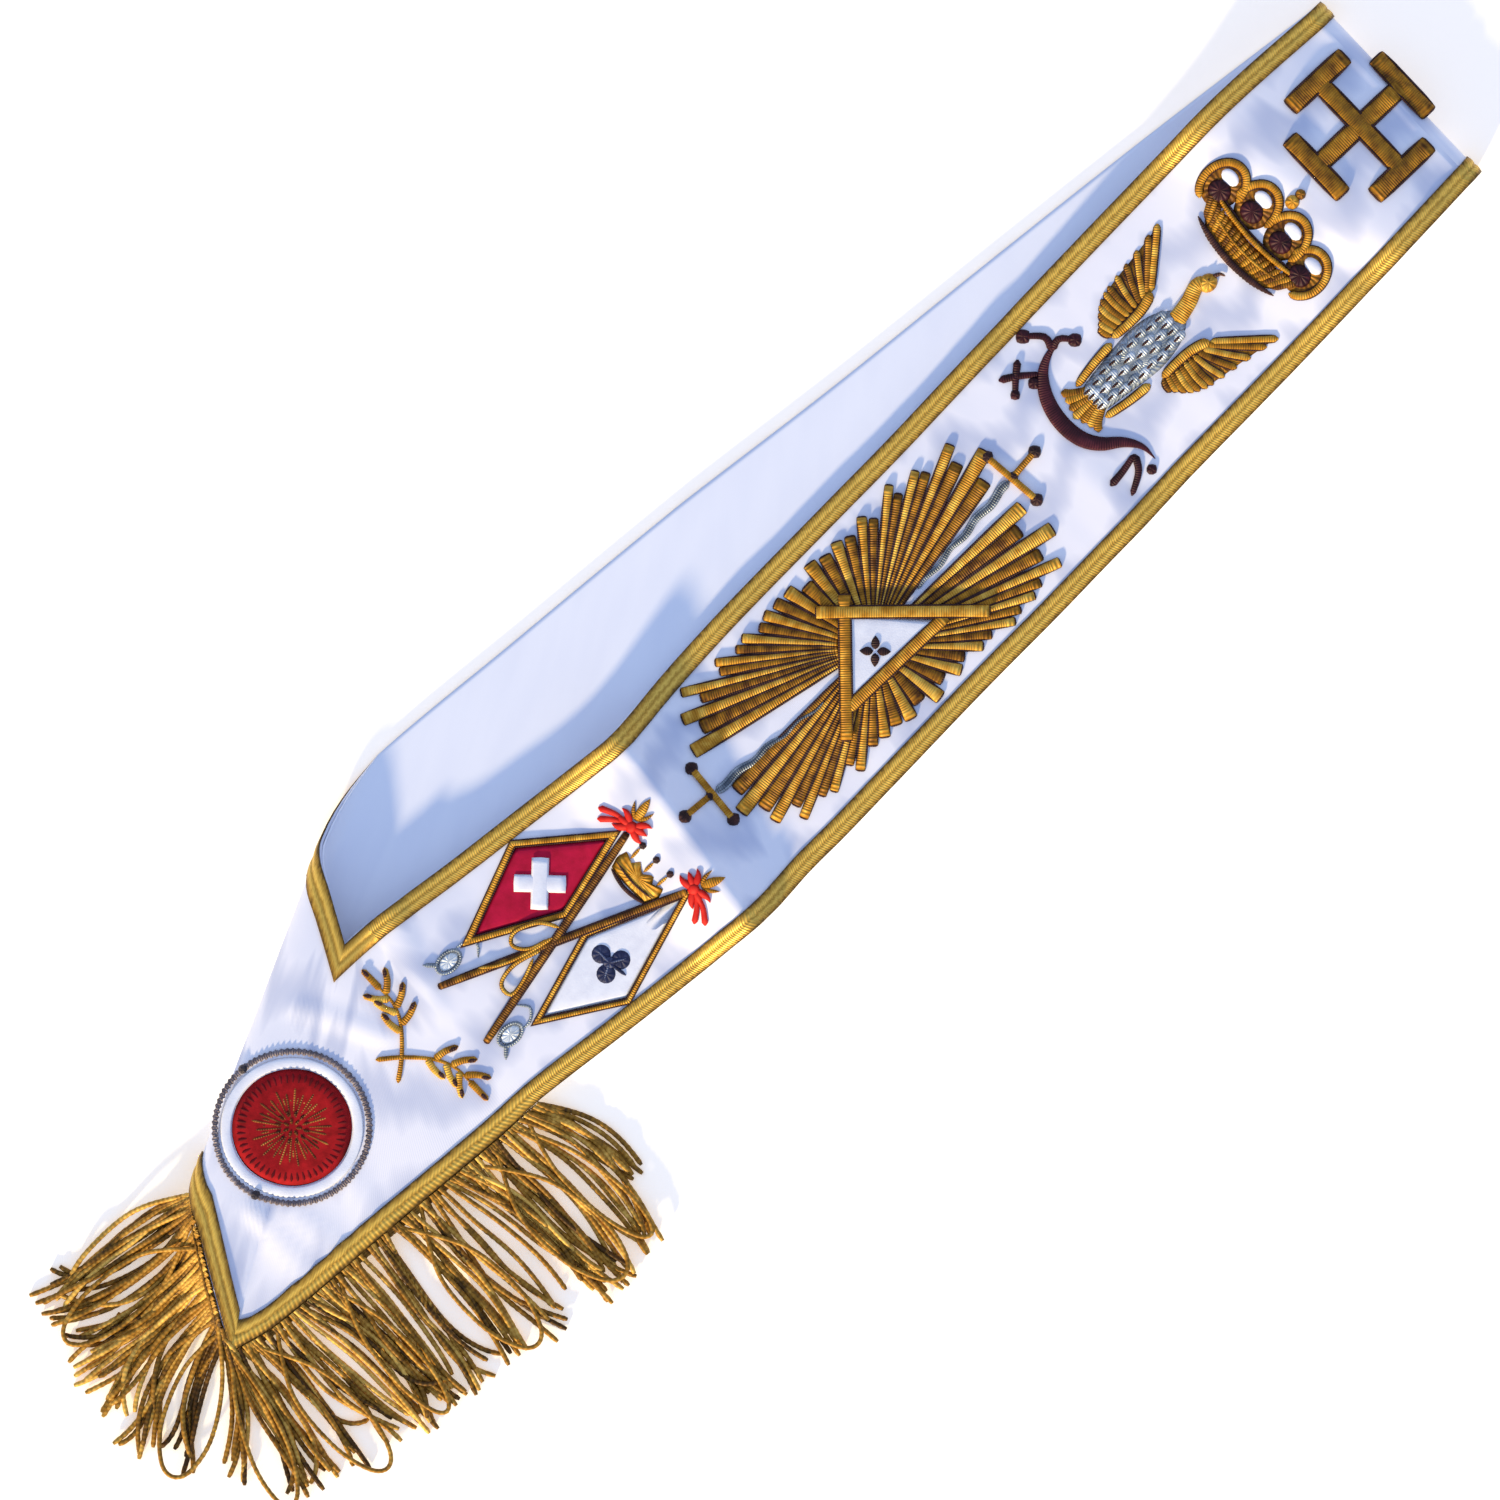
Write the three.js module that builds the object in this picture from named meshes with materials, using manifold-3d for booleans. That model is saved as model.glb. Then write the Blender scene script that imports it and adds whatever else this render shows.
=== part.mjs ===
// The sash of an order, laid flat: one closed band of white ribbon, folded at the shoulder, turned at the
// hip, edged with gold braid, fringed at the hip point and embroidered along its upper run.
// Millimetres. +X runs from the hip point to the shoulder fold, +Y across the band, +Z up from the table.
import * as THREE from "three";
import { mergeVertices } from "three/addons/utils/BufferGeometryUtils.js";
import Module from "manifold-3d";

const wasm = await Module();
wasm.setup();

// Band
const STRAP_REACH = 787;
const RIBBON_WIDTH = 110;
const RIBBON_THICKNESS = 1.2;
const LINING_THICKNESS = 1.0;
const BRAID_WIDTH = 9.5;
const BRAID_THICKNESS = 1.0;
const HIP_ROLL_RADIUS = 8.5;
const SHOULDER_ROLL_RADIUS = 6;
const CROWNING = 1.5;
// The way the edges drift along the hip roll before and after its outermost line
const ROLL_DRIFT_ABOVE = 18;
const ROLL_DRIFT_BELOW_INNER = 44;
const ROLL_DRIFT_BELOW_OUTER = 5;

// Clearance between neighbouring pieces
const GAP = 0.3;

// Fringe
const FRINGE_LENGTH = 88;
const FRINGE_HEAD_WIDTH = 4;
const LOCK_WIDTH = 7;
const LOCK_THICKNESS = 2.4;
const LOCK_STEPS = 3;

// Embroidery: the height of flat work and of padded work, and each emblem's own size
const FLAT_RELIEF = 1.0;
const PADDED_RELIEF = 2.0;
const ROSETTE_RADIUS = 27;
const COLLAR_WIDTH = 5;
const CORD_SPACING = 1.6;
const CORD_WIDTH = 1.8;
const CORD_KNOT_RADIUS = 2.2;
const SPRIG_LENGTH = 78;
const SPRIG_STEM_WIDTH = 2;
const LEAF_LENGTH = 11;
const LEAF_WIDTH = 4.5;
const TROPHY_LENGTH = 133;
const POLE_WIDTH = 3;
const FINIAL_LENGTH = 11;
const BANNER_BORDER_WIDTH = 2.6;
const BANNER_CROSS_SPAN = 24;
const BANNER_CROSS_ARM = 8;
const TREFOIL_SPAN = 19;
const BOW_SPAN = 15;
const TASSEL_LENGTH = 19;
const BANNER_CROWN_WIDTH = 25;
const BANNER_CROWN_BAR = 2;
const GLORY_LENGTH = 196;
const GLORY_WIDTH = 86;
const RAY_COUNT = 38;
const TRIANGLE_WIDTH = 66;
const TRIANGLE_HEIGHT = 39;
const TRIANGLE_FRAME_WIDTH = 5.5;
const TRIANGLE_FLOWER_SPAN = 12;
const SWORD_GUARD_LENGTH = 30;
const SWORD_GUARD_WIDTH = 3;
const SWORD_GRIP_LENGTH = 15;
const SWORD_BLADE_LENGTH = 62;
const SWORD_BLADE_WIDTH = 4;
const SWORD_KNOB_RADIUS = 3.2;
const BIRD_LENGTH = 117;
const BIRD_SPAN = 76;
const BIRD_HEAD_WIDTH = 12;
const BEAK_LENGTH = 9;
const TAIL_LENGTH = 23;
const TAIL_WIDTH = 26;
const FEATHER_COUNT = 6;
const FEATHER_WIDTH = 6;
const SCROLL_WIDTH = 4.5;
const CROWN_LENGTH = 48;
const CROWN_WIDTH = 76;
const CROWN_BAND_WIDTH = 11.5;
const CROWN_ARCH_WIDTH = 5;
const CROSS_SPAN = 64;
const CROSS_ARM = 8.5;
const CROSS_BAR_LENGTH = 35;

// Heights over the sheet where ribbon and lining meet
const LINING_BACK = -(GAP / 2 + LINING_THICKNESS);
const RIBBON_FACE = GAP / 2 + RIBBON_THICKNESS;
const BRAID_BACK = RIBBON_FACE + GAP;
const BRAID_FACE = BRAID_BACK + BRAID_THICKNESS;
const STITCH_BASE = RIBBON_FACE + GAP;

// Levels of that sheet over the table
const BACK_LEVEL = BRAID_FACE;
const RESTING_LEVEL = GAP - LINING_BACK;
const CONTACT_LEVEL = BACK_LEVEL - 2 * LINING_BACK + GAP;
const HIP_LEVEL = BACK_LEVEL + 2 * HIP_ROLL_RADIUS;
const SHOULDER_LEVEL = BACK_LEVEL + 2 * SHOULDER_ROLL_RADIUS;
const SHOULDER_AXIS = STRAP_REACH - SHOULDER_ROLL_RADIUS - BRAID_FACE;
const SHOULDER_START = SHOULDER_AXIS / STRAP_REACH;

// Upper run: along is a share of STRAP_REACH, lower and upper are the edges as shares of RIBBON_WIDTH.
// A lift above 0 is a share of the room under the folds, one below 0 a share of the way to the table.
const UPPER_RUN = [
  { along: 0.0, lower: -0.03, upper: 0.833, liftLower: -0.3, liftUpper: 0.9, crown: 0 },
  { along: 0.03, lower: -0.08, upper: 0.833, liftLower: -0.3, liftUpper: 0.9, crown: 0 },
  { along: 0.116, lower: -0.115, upper: 0.833, liftLower: -0.3, liftUpper: 0.9, crown: 0 },
  { along: 0.2, lower: -0.152, upper: 0.833, liftLower: -0.3, liftUpper: 0.93, crown: 0.3 },
  { along: 0.233, lower: -0.158, upper: 0.833, liftLower: -0.3, liftUpper: 0.84, crown: 0.6 },
  { along: 0.291, lower: -0.2, upper: 0.812, liftLower: -0.25, liftUpper: 0.6, crown: 1 },
  { along: 0.349, lower: -0.237, upper: 0.771, liftLower: -0.1, liftUpper: 0.54, crown: 1 },
  { along: 0.376, lower: -0.25, upper: 0.751, liftLower: 0.4, liftUpper: 0.7, crown: 1 },
  { along: 0.39, lower: -0.257, upper: 0.741, liftLower: 0.62, liftUpper: 0.94, crown: 1 },
  { along: 0.407, lower: -0.258, upper: 0.732, liftLower: 0.34, liftUpper: 1.14, crown: 1 },
  { along: 0.42, lower: -0.252, upper: 0.741, liftLower: 0.06, liftUpper: 0.82, crown: 1 },
  { along: 0.437, lower: -0.243, upper: 0.756, liftLower: -0.05, liftUpper: 0.3, crown: 1 },
  { along: 0.466, lower: -0.238, upper: 0.777, liftLower: 0.0, liftUpper: 0.1, crown: 1 },
  { along: 0.51, lower: -0.223, upper: 0.798, liftLower: 0.02, liftUpper: 0.1, crown: 1 },
  { along: 0.582, lower: -0.198, upper: 0.818, liftLower: 0.02, liftUpper: 0.1, crown: 1 },
  { along: 0.64, lower: -0.185, upper: 0.833, liftLower: 0.02, liftUpper: 0.1, crown: 1 },
  { along: 0.69, lower: -0.169, upper: 0.853, liftLower: 0.1, liftUpper: 0.18, crown: 0.9 },
  { along: 0.713, lower: -0.162, upper: 0.862, liftLower: 0.16, liftUpper: 0.28, crown: 0.8 },
  { along: 0.735, lower: -0.152, upper: 0.87, liftLower: 0.08, liftUpper: 0.2, crown: 0.9 },
  { along: 0.757, lower: -0.142, upper: 0.879, liftLower: 0.14, liftUpper: 0.26, crown: 1 },
  { along: 0.844, lower: -0.117, upper: 0.908, liftLower: 0.55, liftUpper: 0.65, crown: 1 },
  { along: 0.915, lower: -0.089, upper: 0.928, liftLower: 1.2, liftUpper: 1.3, crown: 0.7 },
  { along: 1.0, lower: -0.056, upper: 0.912, liftLower: 1, liftUpper: 1, crown: 0 },
];

// Lower run, which lies flat on the table
const LOWER_RUN = [
  { along: 0.063, lower: 0.53, upper: 1.371 },
  { along: 0.291, lower: 0.379, upper: 1.371 },
  { along: 0.407, lower: 0.318, upper: 1.308 },
  { along: 0.524, lower: 0.25, upper: 1.238 },
  { along: 0.64, lower: 0.166, upper: 1.152 },
  { along: 0.757, lower: 0.092, upper: 1.083 },
  { along: 0.873, lower: 0.017, upper: 1.008 },
  { along: 1.0, lower: -0.056, upper: 0.912 },
];

// Corners of the hip, as shares of STRAP_REACH and RIBBON_WIDTH
const HIP_POINT = { along: 0.0, side: -0.03 };
const HIP_CORNER = { along: 0.2, side: 0.833 };
const FOLD_OUTER = { along: 0.0545, side: 0.604 };
const FOLD_INNER = { along: 0.2357, side: 1.255 };

// How finely the band is divided; the upper run's longest step is a share of STRAP_REACH
const LONGEST_STEP = 0.036;
const UPPER_END = 0.216;
const RIDGE_ALONG = 0.407;
const TURN_STEPS = 4;
const PANEL_STEPS = 4;
const ROLL_STEPS = 8;
const LOWER_STEPS = 10;
const MIDDLE_COLUMNS = [0.5];
const LAST_COLUMN = MIDDLE_COLUMNS.length + 3;

// Where the upper run has its stations: at each row of its table, and evenly between rows far apart.
function upperPlaces() {
  const rows = UPPER_RUN.map((row) => row.along);
  const inside = rows.filter((along) => along > UPPER_END && along < SHOULDER_START);
  const stops = [UPPER_END, ...inside, SHOULDER_START].reverse();
  const places = [SHOULDER_START];
  for (let i = 1; i < stops.length; i += 1) {
    const steps = Math.ceil((stops[i - 1] - stops[i]) / LONGEST_STEP);
    for (let k = 1; k <= steps; k += 1) places.push(THREE.MathUtils.lerp(stops[i - 1], stops[i], k / steps));
  }
  return places;
}
const upperAlongs = upperPlaces();
const UPPER_STEPS = upperAlongs.length;

// A table's column at a place along it, on a smooth curve through its rows.
function read(rows, column, along) {
  const last = rows.length - 1;
  let i = 0;
  while (i < last - 1 && along > rows[i + 1].along) i += 1;
  const [a, b] = [rows[i], rows[i + 1]];
  const slope = (k) => {
    const [p, q] = [rows[Math.max(k - 1, 0)], rows[Math.min(k + 1, last)]];
    return (q[column] - p[column]) / (q.along - p.along);
  };
  const span = b.along - a.along;
  const t = THREE.MathUtils.clamp((along - a.along) / span, 0, 1);
  const [t2, t3] = [t * t, t * t * t];
  return (
    a[column] * (2 * t3 - 3 * t2 + 1) +
    b[column] * (3 * t2 - 2 * t3) +
    span * (slope(i) * (t3 - 2 * t2 + t) + slope(i + 1) * (t3 - t2))
  );
}

// A lift's height over the table.
function level(lift, along) {
  const room = THREE.MathUtils.lerp(HIP_LEVEL, SHOULDER_LEVEL, along) - CONTACT_LEVEL;
  return CONTACT_LEVEL + lift * (lift > 0 ? room : CONTACT_LEVEL - RESTING_LEVEL);
}

const plan = (along, side, height = 0) =>
  new THREE.Vector3(along * STRAP_REACH, side * RIBBON_WIDTH, height);

function upperEdgePoint(edge, along) {
  const lift = read(UPPER_RUN, edge === "lower" ? "liftLower" : "liftUpper", along);
  return plan(along, read(UPPER_RUN, edge, along), level(lift, along));
}

// The band's stations in order, from the shoulder along the upper run, round the hip and back.
function makeStations() {
  const stations = [];
  const add = (outer, inner, crown = 0) => stations.push({ outer, inner, crown });
  upperAlongs.forEach((along, i) => {
    const crown = i === 0 ? 0 : read(UPPER_RUN, "crown", along);
    const shoulder = i === 0 ? { z: SHOULDER_LEVEL } : {};
    add(
      Object.assign(upperEdgePoint("lower", along), shoulder),
      Object.assign(upperEdgePoint("upper", along), shoulder),
      crown,
    );
  });
  for (let i = 1; i <= TURN_STEPS; i += 1) {
    const share = i / TURN_STEPS;
    const outerAlong = THREE.MathUtils.lerp(UPPER_END, HIP_POINT.along, share);
    const innerAlong = THREE.MathUtils.lerp(UPPER_END, HIP_CORNER.along, share);
    add(upperEdgePoint("lower", outerAlong), upperEdgePoint("upper", innerAlong), 0.3 * (1 - share));
  }

  const foldOuter = plan(FOLD_OUTER.along, FOLD_OUTER.side);
  const foldInner = plan(FOLD_INNER.along, FOLD_INNER.side);
  const axis = foldInner.clone().sub(foldOuter).normalize();
  const inward = new THREE.Vector3(axis.y, -axis.x, 0);
  const reach = HIP_ROLL_RADIUS + BRAID_FACE;
  const onRoll = (fold, turn, below) => {
    const drift = turn < 0.5 ? -ROLL_DRIFT_ABOVE * (1 - 2 * turn) : below * (2 * turn - 1);
    return fold
      .clone()
      .addScaledVector(axis, drift)
      .addScaledVector(inward, reach - HIP_ROLL_RADIUS * Math.sin(Math.PI * turn))
      .setZ(BACK_LEVEL + HIP_ROLL_RADIUS * (1 + Math.cos(Math.PI * turn)));
  };

  const seam = stations[stations.length - 1];
  const [topOuter, topInner] = [onRoll(foldOuter, 0, 0), onRoll(foldInner, 0, 0)];
  for (let i = 1; i < PANEL_STEPS; i += 1) {
    const share = i / PANEL_STEPS;
    const rise = Math.sin((share * Math.PI) / 2);
    const between = (from, to) =>
      from.clone().lerp(to, share).setZ(THREE.MathUtils.lerp(from.z, to.z, rise));
    add(between(seam.outer, topOuter), between(seam.inner, topInner));
  }
  for (let i = 0; i <= ROLL_STEPS; i += 1) {
    const turn = i / ROLL_STEPS;
    add(onRoll(foldOuter, turn, ROLL_DRIFT_BELOW_OUTER), onRoll(foldInner, turn, ROLL_DRIFT_BELOW_INNER));
  }

  const under = stations[stations.length - 1];
  for (let i = 1; i <= LOWER_STEPS; i += 1) {
    const share = i / LOWER_STEPS;
    const at = (edge, start) => {
      const along = THREE.MathUtils.lerp(start.x / STRAP_REACH, SHOULDER_START, share);
      const side = read(LOWER_RUN, edge, along);
      const first = read(LOWER_RUN, edge, start.x / STRAP_REACH);
      const settle = (start.y / RIBBON_WIDTH - first) * Math.max(0, 1 - 3 * share);
      return plan(along, side + settle, BACK_LEVEL);
    };
    add(at("lower", under.outer), at("upper", under.inner));
  }
  const [low, high] = [stations[stations.length - 1], stations[0]];
  for (let i = 1; i < ROLL_STEPS; i += 1) {
    const turn = Math.PI * (1 - i / ROLL_STEPS);
    const round = (from, to) =>
      from
        .clone()
        .lerp(to, i / ROLL_STEPS)
        .setX(SHOULDER_AXIS + SHOULDER_ROLL_RADIUS * Math.sin(turn))
        .setZ(BACK_LEVEL + SHOULDER_ROLL_RADIUS * (1 + Math.cos(turn)));
    add(round(low.outer, high.outer), round(low.inner, high.inner));
  }
  return stations;
}

const stations = makeStations();
const around = (i) => (i + stations.length) % stations.length;

// How much wider a strip is along the station's slanting line than across its edge.
function slant(i, edge) {
  const across = stations[i].inner.clone().sub(stations[i].outer).normalize();
  const sine = (from, to) =>
    stations[to][edge].clone().sub(stations[from][edge]).normalize().cross(across).length();
  return 2 / (sine(around(i - 1), i) + sine(i, around(i + 1)));
}

// Points of the sheet where ribbon and lining meet: a row at each station, a column at each line along it.
const sheet = stations.map((station, i) => {
  const width = station.outer.distanceTo(station.inner);
  const outerBraid = (BRAID_WIDTH * slant(i, "outer")) / width;
  const innerBraid = 1 - (BRAID_WIDTH * slant(i, "inner")) / width;
  const middle = MIDDLE_COLUMNS.map((share) => THREE.MathUtils.lerp(outerBraid, innerBraid, share));
  return [0, outerBraid, ...middle, innerBraid, 1].map((share) => {
    const point = station.outer.clone().lerp(station.inner, share);
    point.z += CROWNING * station.crown * (1 - (2 * share - 1) ** 2);
    return point;
  });
});
const normals = sheet.map((row, i) =>
  row.map((_, j) => {
    const along = sheet[around(i + 1)][j].clone().sub(sheet[around(i - 1)][j]);
    const across = row[Math.min(j + 1, LAST_COLUMN)].clone().sub(row[Math.max(j - 1, 0)]);
    return across.cross(along).normalize();
  }),
);
const sheetPoint = (i, column, height) =>
  sheet[around(i)][column].clone().addScaledVector(normals[around(i)][column], height);

// Geometry helpers

function bare(geometry) {
  const positions = geometry.index ? geometry.toNonIndexed() : geometry.clone();
  positions.deleteAttribute("normal");
  positions.deleteAttribute("uv");
  return mergeVertices(positions, 1e-3);
}

function solid(geometry) {
  const merged = bare(geometry);
  const positions = merged.attributes.position.array;
  const triVerts = new Uint32Array(merged.index.array);
  const make = () => new wasm.Manifold(new wasm.Mesh({ numProp: 3, vertProperties: positions, triVerts }));
  const made = make();
  if (made.volume() > 0) return made;
  for (let i = 0; i < triVerts.length; i += 3) {
    [triVerts[i + 1], triVerts[i + 2]] = [triVerts[i + 2], triVerts[i + 1]];
  }
  return make();
}

function geometryOf(made) {
  const mesh = made.getMesh();
  const geometry = new THREE.BufferGeometry();
  geometry.setAttribute("position", new THREE.BufferAttribute(mesh.vertProperties, 3));
  geometry.setIndex(new THREE.BufferAttribute(mesh.triVerts, 1));
  return geometry;
}

const joined = (solids) => solids.reduce((all, next) => all.add(next));

// Moves every vertex of a geometry to where place says.
function reshape(geometry, place) {
  const position = geometry.attributes.position;
  const vertex = new THREE.Vector3();
  for (let k = 0; k < position.count; k += 1) {
    const to = place(vertex.fromBufferAttribute(position, k));
    position.setXYZ(k, to.x, to.y, to.z);
  }
  return geometry;
}

// The lengths that the band is sewn from, as stations: round the shoulder, along the upper run, from the
// ridge in it to the hip, round the hip, and along the table.
const HIP_FOLD = UPPER_STEPS + TURN_STEPS + PANEL_STEPS - 1;
const SHOULDER_SEAM = 1;
const RIDGE_SEAM = upperAlongs.findIndex((along) => along < RIDGE_ALONG + LONGEST_STEP / 100);
const LENGTHS = {
  shoulder: { from: -ROLL_STEPS, to: SHOULDER_SEAM },
  upper: { from: SHOULDER_SEAM, to: RIDGE_SEAM },
  ridge: { from: RIDGE_SEAM, to: UPPER_STEPS - 1 },
  hip: { from: UPPER_STEPS - 1, to: HIP_FOLD + ROLL_STEPS },
  lower: { from: HIP_FOLD + ROLL_STEPS, to: stations.length - ROLL_STEPS },
};
const WHOLE_WIDTH = { first: 0, last: LAST_COLUMN };
const OUTER_BORDER = { first: 0, last: 1 };
const INNER_BORDER = { first: LAST_COLUMN - 1, last: LAST_COLUMN };

// A slab between two stations, two columns and two heights, stopped short of its neighbour at each end.
// Faces that lie on each other are divided alike, so the ribbon's slabs are mirrored.
function slab({ from, to }, { first, last }, low, high, mirrored = false) {
  const rows = to - from;
  const columns = last - first;
  const block = new THREE.BoxGeometry(rows, columns, 1, rows, columns, 1);
  return solid(
    reshape(block, (vertex) => {
      const row = from + Math.round((mirrored ? -vertex.x : vertex.x) + rows / 2);
      const column = first + Math.round(vertex.y + columns / 2);
      const height = vertex.z > 0 ? high : low;
      const place = sheetPoint(row, column, height);
      if (row > from && row < to) return place;
      const inward = sheetPoint(row === from ? row + 1 : row - 1, column, height).sub(place);
      return place.add(inward.setLength(GAP / 2));
    }),
  );
}

// The skin that embroidery is cut from, over the front from round the shoulder to round the hip.
const FRONT = { from: -3, to: HIP_FOLD + 3 };
const skins = new Map();
function skin(low, high) {
  const key = `${low} ${high}`;
  if (!skins.has(key)) skins.set(key, slab(FRONT, WHOLE_WIDTH, low, high));
  return skins.get(key);
}

// A shape's prism, standing through the upper run.
function prism(shape, dx = 0, dy = 0) {
  const depth = 3 * (HIP_LEVEL + BRAID_FACE + PADDED_RELIEF);
  return solid(
    new THREE.ExtrudeGeometry(shape, { depth, bevelEnabled: false, curveSegments: 8 })
      .translate(dx, dy, -depth / 3),
  );
}

const prismOf = (shapes) => joined(shapes.map((shape) => prism(shape)));

// The space that a piece keeps clear round itself.
function clearOf(shapes) {
  const shifted = [];
  for (let turn = 0; turn < 8; turn += 1) {
    const angle = (turn * Math.PI) / 4;
    const shift = GAP / Math.cos(Math.PI / 8);
    shapes.forEach((shape) => shifted.push(prism(shape, shift * Math.cos(angle), shift * Math.sin(angle))));
  }
  return joined([...shifted, prismOf(shapes)]);
}

const root = new THREE.Group();
const MATTE = { roughness: 0.85, metalness: 0 };
const THREAD = { roughness: 0.45, metalness: 0.6 };
const COLOURS = {
  ribbon: "#e6e6f4",
  lining: "#eceef8",
  gold: "#c8a03c",
  paleGold: "#cfb478",
  bronze: "#a8732a",
  brown: "#5a3820",
  darkRed: "#a01c20",
  maroon: "#3c0f18",
  red: "#c80f3c",
  silver: "#9aa8b0",
  navy: "#28304f",
  white: "#eeeef4",
};

function addPiece(name, made, colour, finish = THREAD) {
  const material = new THREE.MeshStandardMaterial({ color: COLOURS[colour], ...finish });
  const mesh = new THREE.Mesh(geometryOf(made), material);
  mesh.name = name;
  root.add(mesh);
}

// Embroidery: shapes laid on the ribbon's face, cut away round what is stitched over them.
function stitch(name, shapes, colour, { relief = FLAT_RELIEF, base = STITCH_BASE, under = [], finish } = {}) {
  let made = skin(base, base + relief).intersect(prismOf(shapes));
  if (under.length) made = made.subtract(clearOf(under));
  addPiece(name, made, colour, finish);
}

// Flat shapes, about a centre, with x along the band and y across it

const point = (x, y) => new THREE.Vector2(x, y);
const ORIGIN = point(0, 0);
const outline = (points) => new THREE.Shape(points);

function moved(shape, x, y, degrees = 0) {
  const turn = (points) =>
    points.map((p) => p.clone().rotateAround(ORIGIN, THREE.MathUtils.degToRad(degrees)).add(point(x, y)));
  const { shape: edge, holes } = shape.extractPoints(8);
  const closed = (points) => (points[0].equals(points[points.length - 1]) ? points.slice(0, -1) : points);
  const copy = outline(turn(closed(edge)));
  copy.holes = holes.map((hole) => new THREE.Path(turn(closed(hole))));
  return copy;
}

function polygon(count, radiusX, radiusY = radiusX, start = 0) {
  const points = [];
  for (let k = 0; k < count; k += 1) {
    const angle = start + (2 * Math.PI * k) / count;
    points.push(point(radiusX * Math.cos(angle), radiusY * Math.sin(angle)));
  }
  return outline(points);
}

function ringShape(count, outerRadius, innerRadius) {
  const ring = polygon(count, outerRadius);
  ring.holes = [new THREE.Path(polygon(count, innerRadius).getPoints())];
  return ring;
}

function bar(from, to, width, endWidth = width) {
  const side = to.clone().sub(from).normalize().rotateAround(ORIGIN, Math.PI / 2);
  return outline([
    from.clone().addScaledVector(side, -width / 2),
    to.clone().addScaledVector(side, -endWidth / 2),
    to.clone().addScaledVector(side, endWidth / 2),
    from.clone().addScaledVector(side, width / 2),
  ]);
}

// A strip of even or tapering width along a line of points.
function strip(points, widthAt) {
  const sides = points.map((p, k) => {
    const next = points[Math.min(k + 1, points.length - 1)];
    const side = next.clone().sub(points[Math.max(k - 1, 0)]).normalize();
    return side.rotateAround(ORIGIN, Math.PI / 2).multiplyScalar(widthAt(k / (points.length - 1)) / 2);
  });
  return outline([
    ...points.map((p, k) => p.clone().sub(sides[k])),
    ...points.map((p, k) => p.clone().add(sides[k])).reverse(),
  ]);
}

// An arc of points round a centre.
function arc(x, y, radiusX, radiusY, from, to, steps) {
  const points = [];
  for (let k = 0; k <= steps; k += 1) {
    const angle = THREE.MathUtils.degToRad(THREE.MathUtils.lerp(from, to, k / steps));
    points.push(point(x + radiusX * Math.cos(angle), y + radiusY * Math.sin(angle)));
  }
  return points;
}

// Where each emblem sits, as shares of STRAP_REACH and RIBBON_WIDTH
const PLACES = {
  rosette: { along: 0.1176, side: 0.463 },
  sprigs: { along: 0.2, side: 0.342 },
  trophy: { along: 0.3143, side: 0.292 },
  glory: { along: 0.553, side: 0.3 },
  bird: { along: 0.777, side: 0.367 },
  crown: { along: 0.8825, side: 0.392 },
  cross: { along: 0.964, side: 0.43 },
};

// A maker of shapes for one emblem: shares of its length go from its own centre.
function emblem(placeName, length) {
  const { along, side } = PLACES[placeName];
  const centre = point(along * STRAP_REACH, side * RIBBON_WIDTH);
  const at = (x, y) => point(centre.x + x * length, centre.y + y * length);
  const set = (shape, x = 0, y = 0, degrees = 0) => moved(shape, at(x, y).x, at(x, y).y, degrees);
  return { at, set };
}

// Bands

Object.entries(LENGTHS).forEach(([label, length]) => {
  addPiece(`ribbon_${label}`, slab(length, WHOLE_WIDTH, GAP / 2, RIBBON_FACE, true), "ribbon", MATTE);
  addPiece(`lining_${label}`, slab(length, WHOLE_WIDTH, LINING_BACK, -GAP / 2), "lining", MATTE);
  addPiece(`braid_outer_${label}`, slab(length, OUTER_BORDER, BRAID_BACK, BRAID_FACE), "gold");
  addPiece(`braid_inner_${label}`, slab(length, INNER_BORDER, BRAID_BACK, BRAID_FACE), "gold");
});

// Fringe: a head along the outer edge at the hip, and locks that fan out from it

// Each lock: where it leaves the head, as a share of the head's length from the strap's side; the way it
// points, in degrees; its length as a share of FRINGE_LENGTH; its bend sideways as a share of its length
const LOCKS = [
  { from: 0.01, points: -74, length: 0.65, bend: 0.1 },
  { from: 0.04, points: -86, length: 0.98, bend: 0.12 },
  { from: 0.09, points: -88, length: 1.0, bend: 0.05 },
  { from: 0.14, points: -86, length: 1.01, bend: -0.04 },
  { from: 0.19, points: -84, length: 1.0, bend: 0.08 },
  { from: 0.25, points: -87, length: 0.98, bend: -0.06 },
  { from: 0.31, points: -92, length: 0.96, bend: 0.04 },
  { from: 0.37, points: -96, length: 0.93, bend: -0.05 },
  { from: 0.43, points: -94, length: 0.9, bend: 0.05 },
  { from: 0.48, points: -90, length: 0.9, bend: -0.04 },
  { from: 0.53, points: -88, length: 0.93, bend: 0.06 },
  { from: 0.58, points: -86, length: 0.92, bend: -0.06 },
  { from: 0.63, points: -92, length: 0.86, bend: 0.05 },
  { from: 0.67, points: -101, length: 0.87, bend: -0.04 },
  { from: 0.705, points: -107, length: 0.83, bend: 0.05 },
  { from: 0.73, points: -129, length: 0.77, bend: 0.1 },
  { from: 0.75, points: -147, length: 0.77, bend: -0.12 },
  { from: 0.79, points: -161, length: 0.9, bend: -0.1 },
  { from: 0.83, points: -173, length: 0.93, bend: -0.05 },
  { from: 0.86, points: 178, length: 0.93, bend: 0.05 },
  { from: 0.89, points: 175, length: 0.92, bend: 0.08 },
  { from: 0.92, points: -174, length: 0.84, bend: 0.14 },
  { from: 0.95, points: 172, length: 0.96, bend: 0.12 },
  { from: 0.98, points: 169, length: 0.98, bend: 0.08 },
  { from: 0.995, points: 172, length: 0.9, bend: -0.08 },
];

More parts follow.
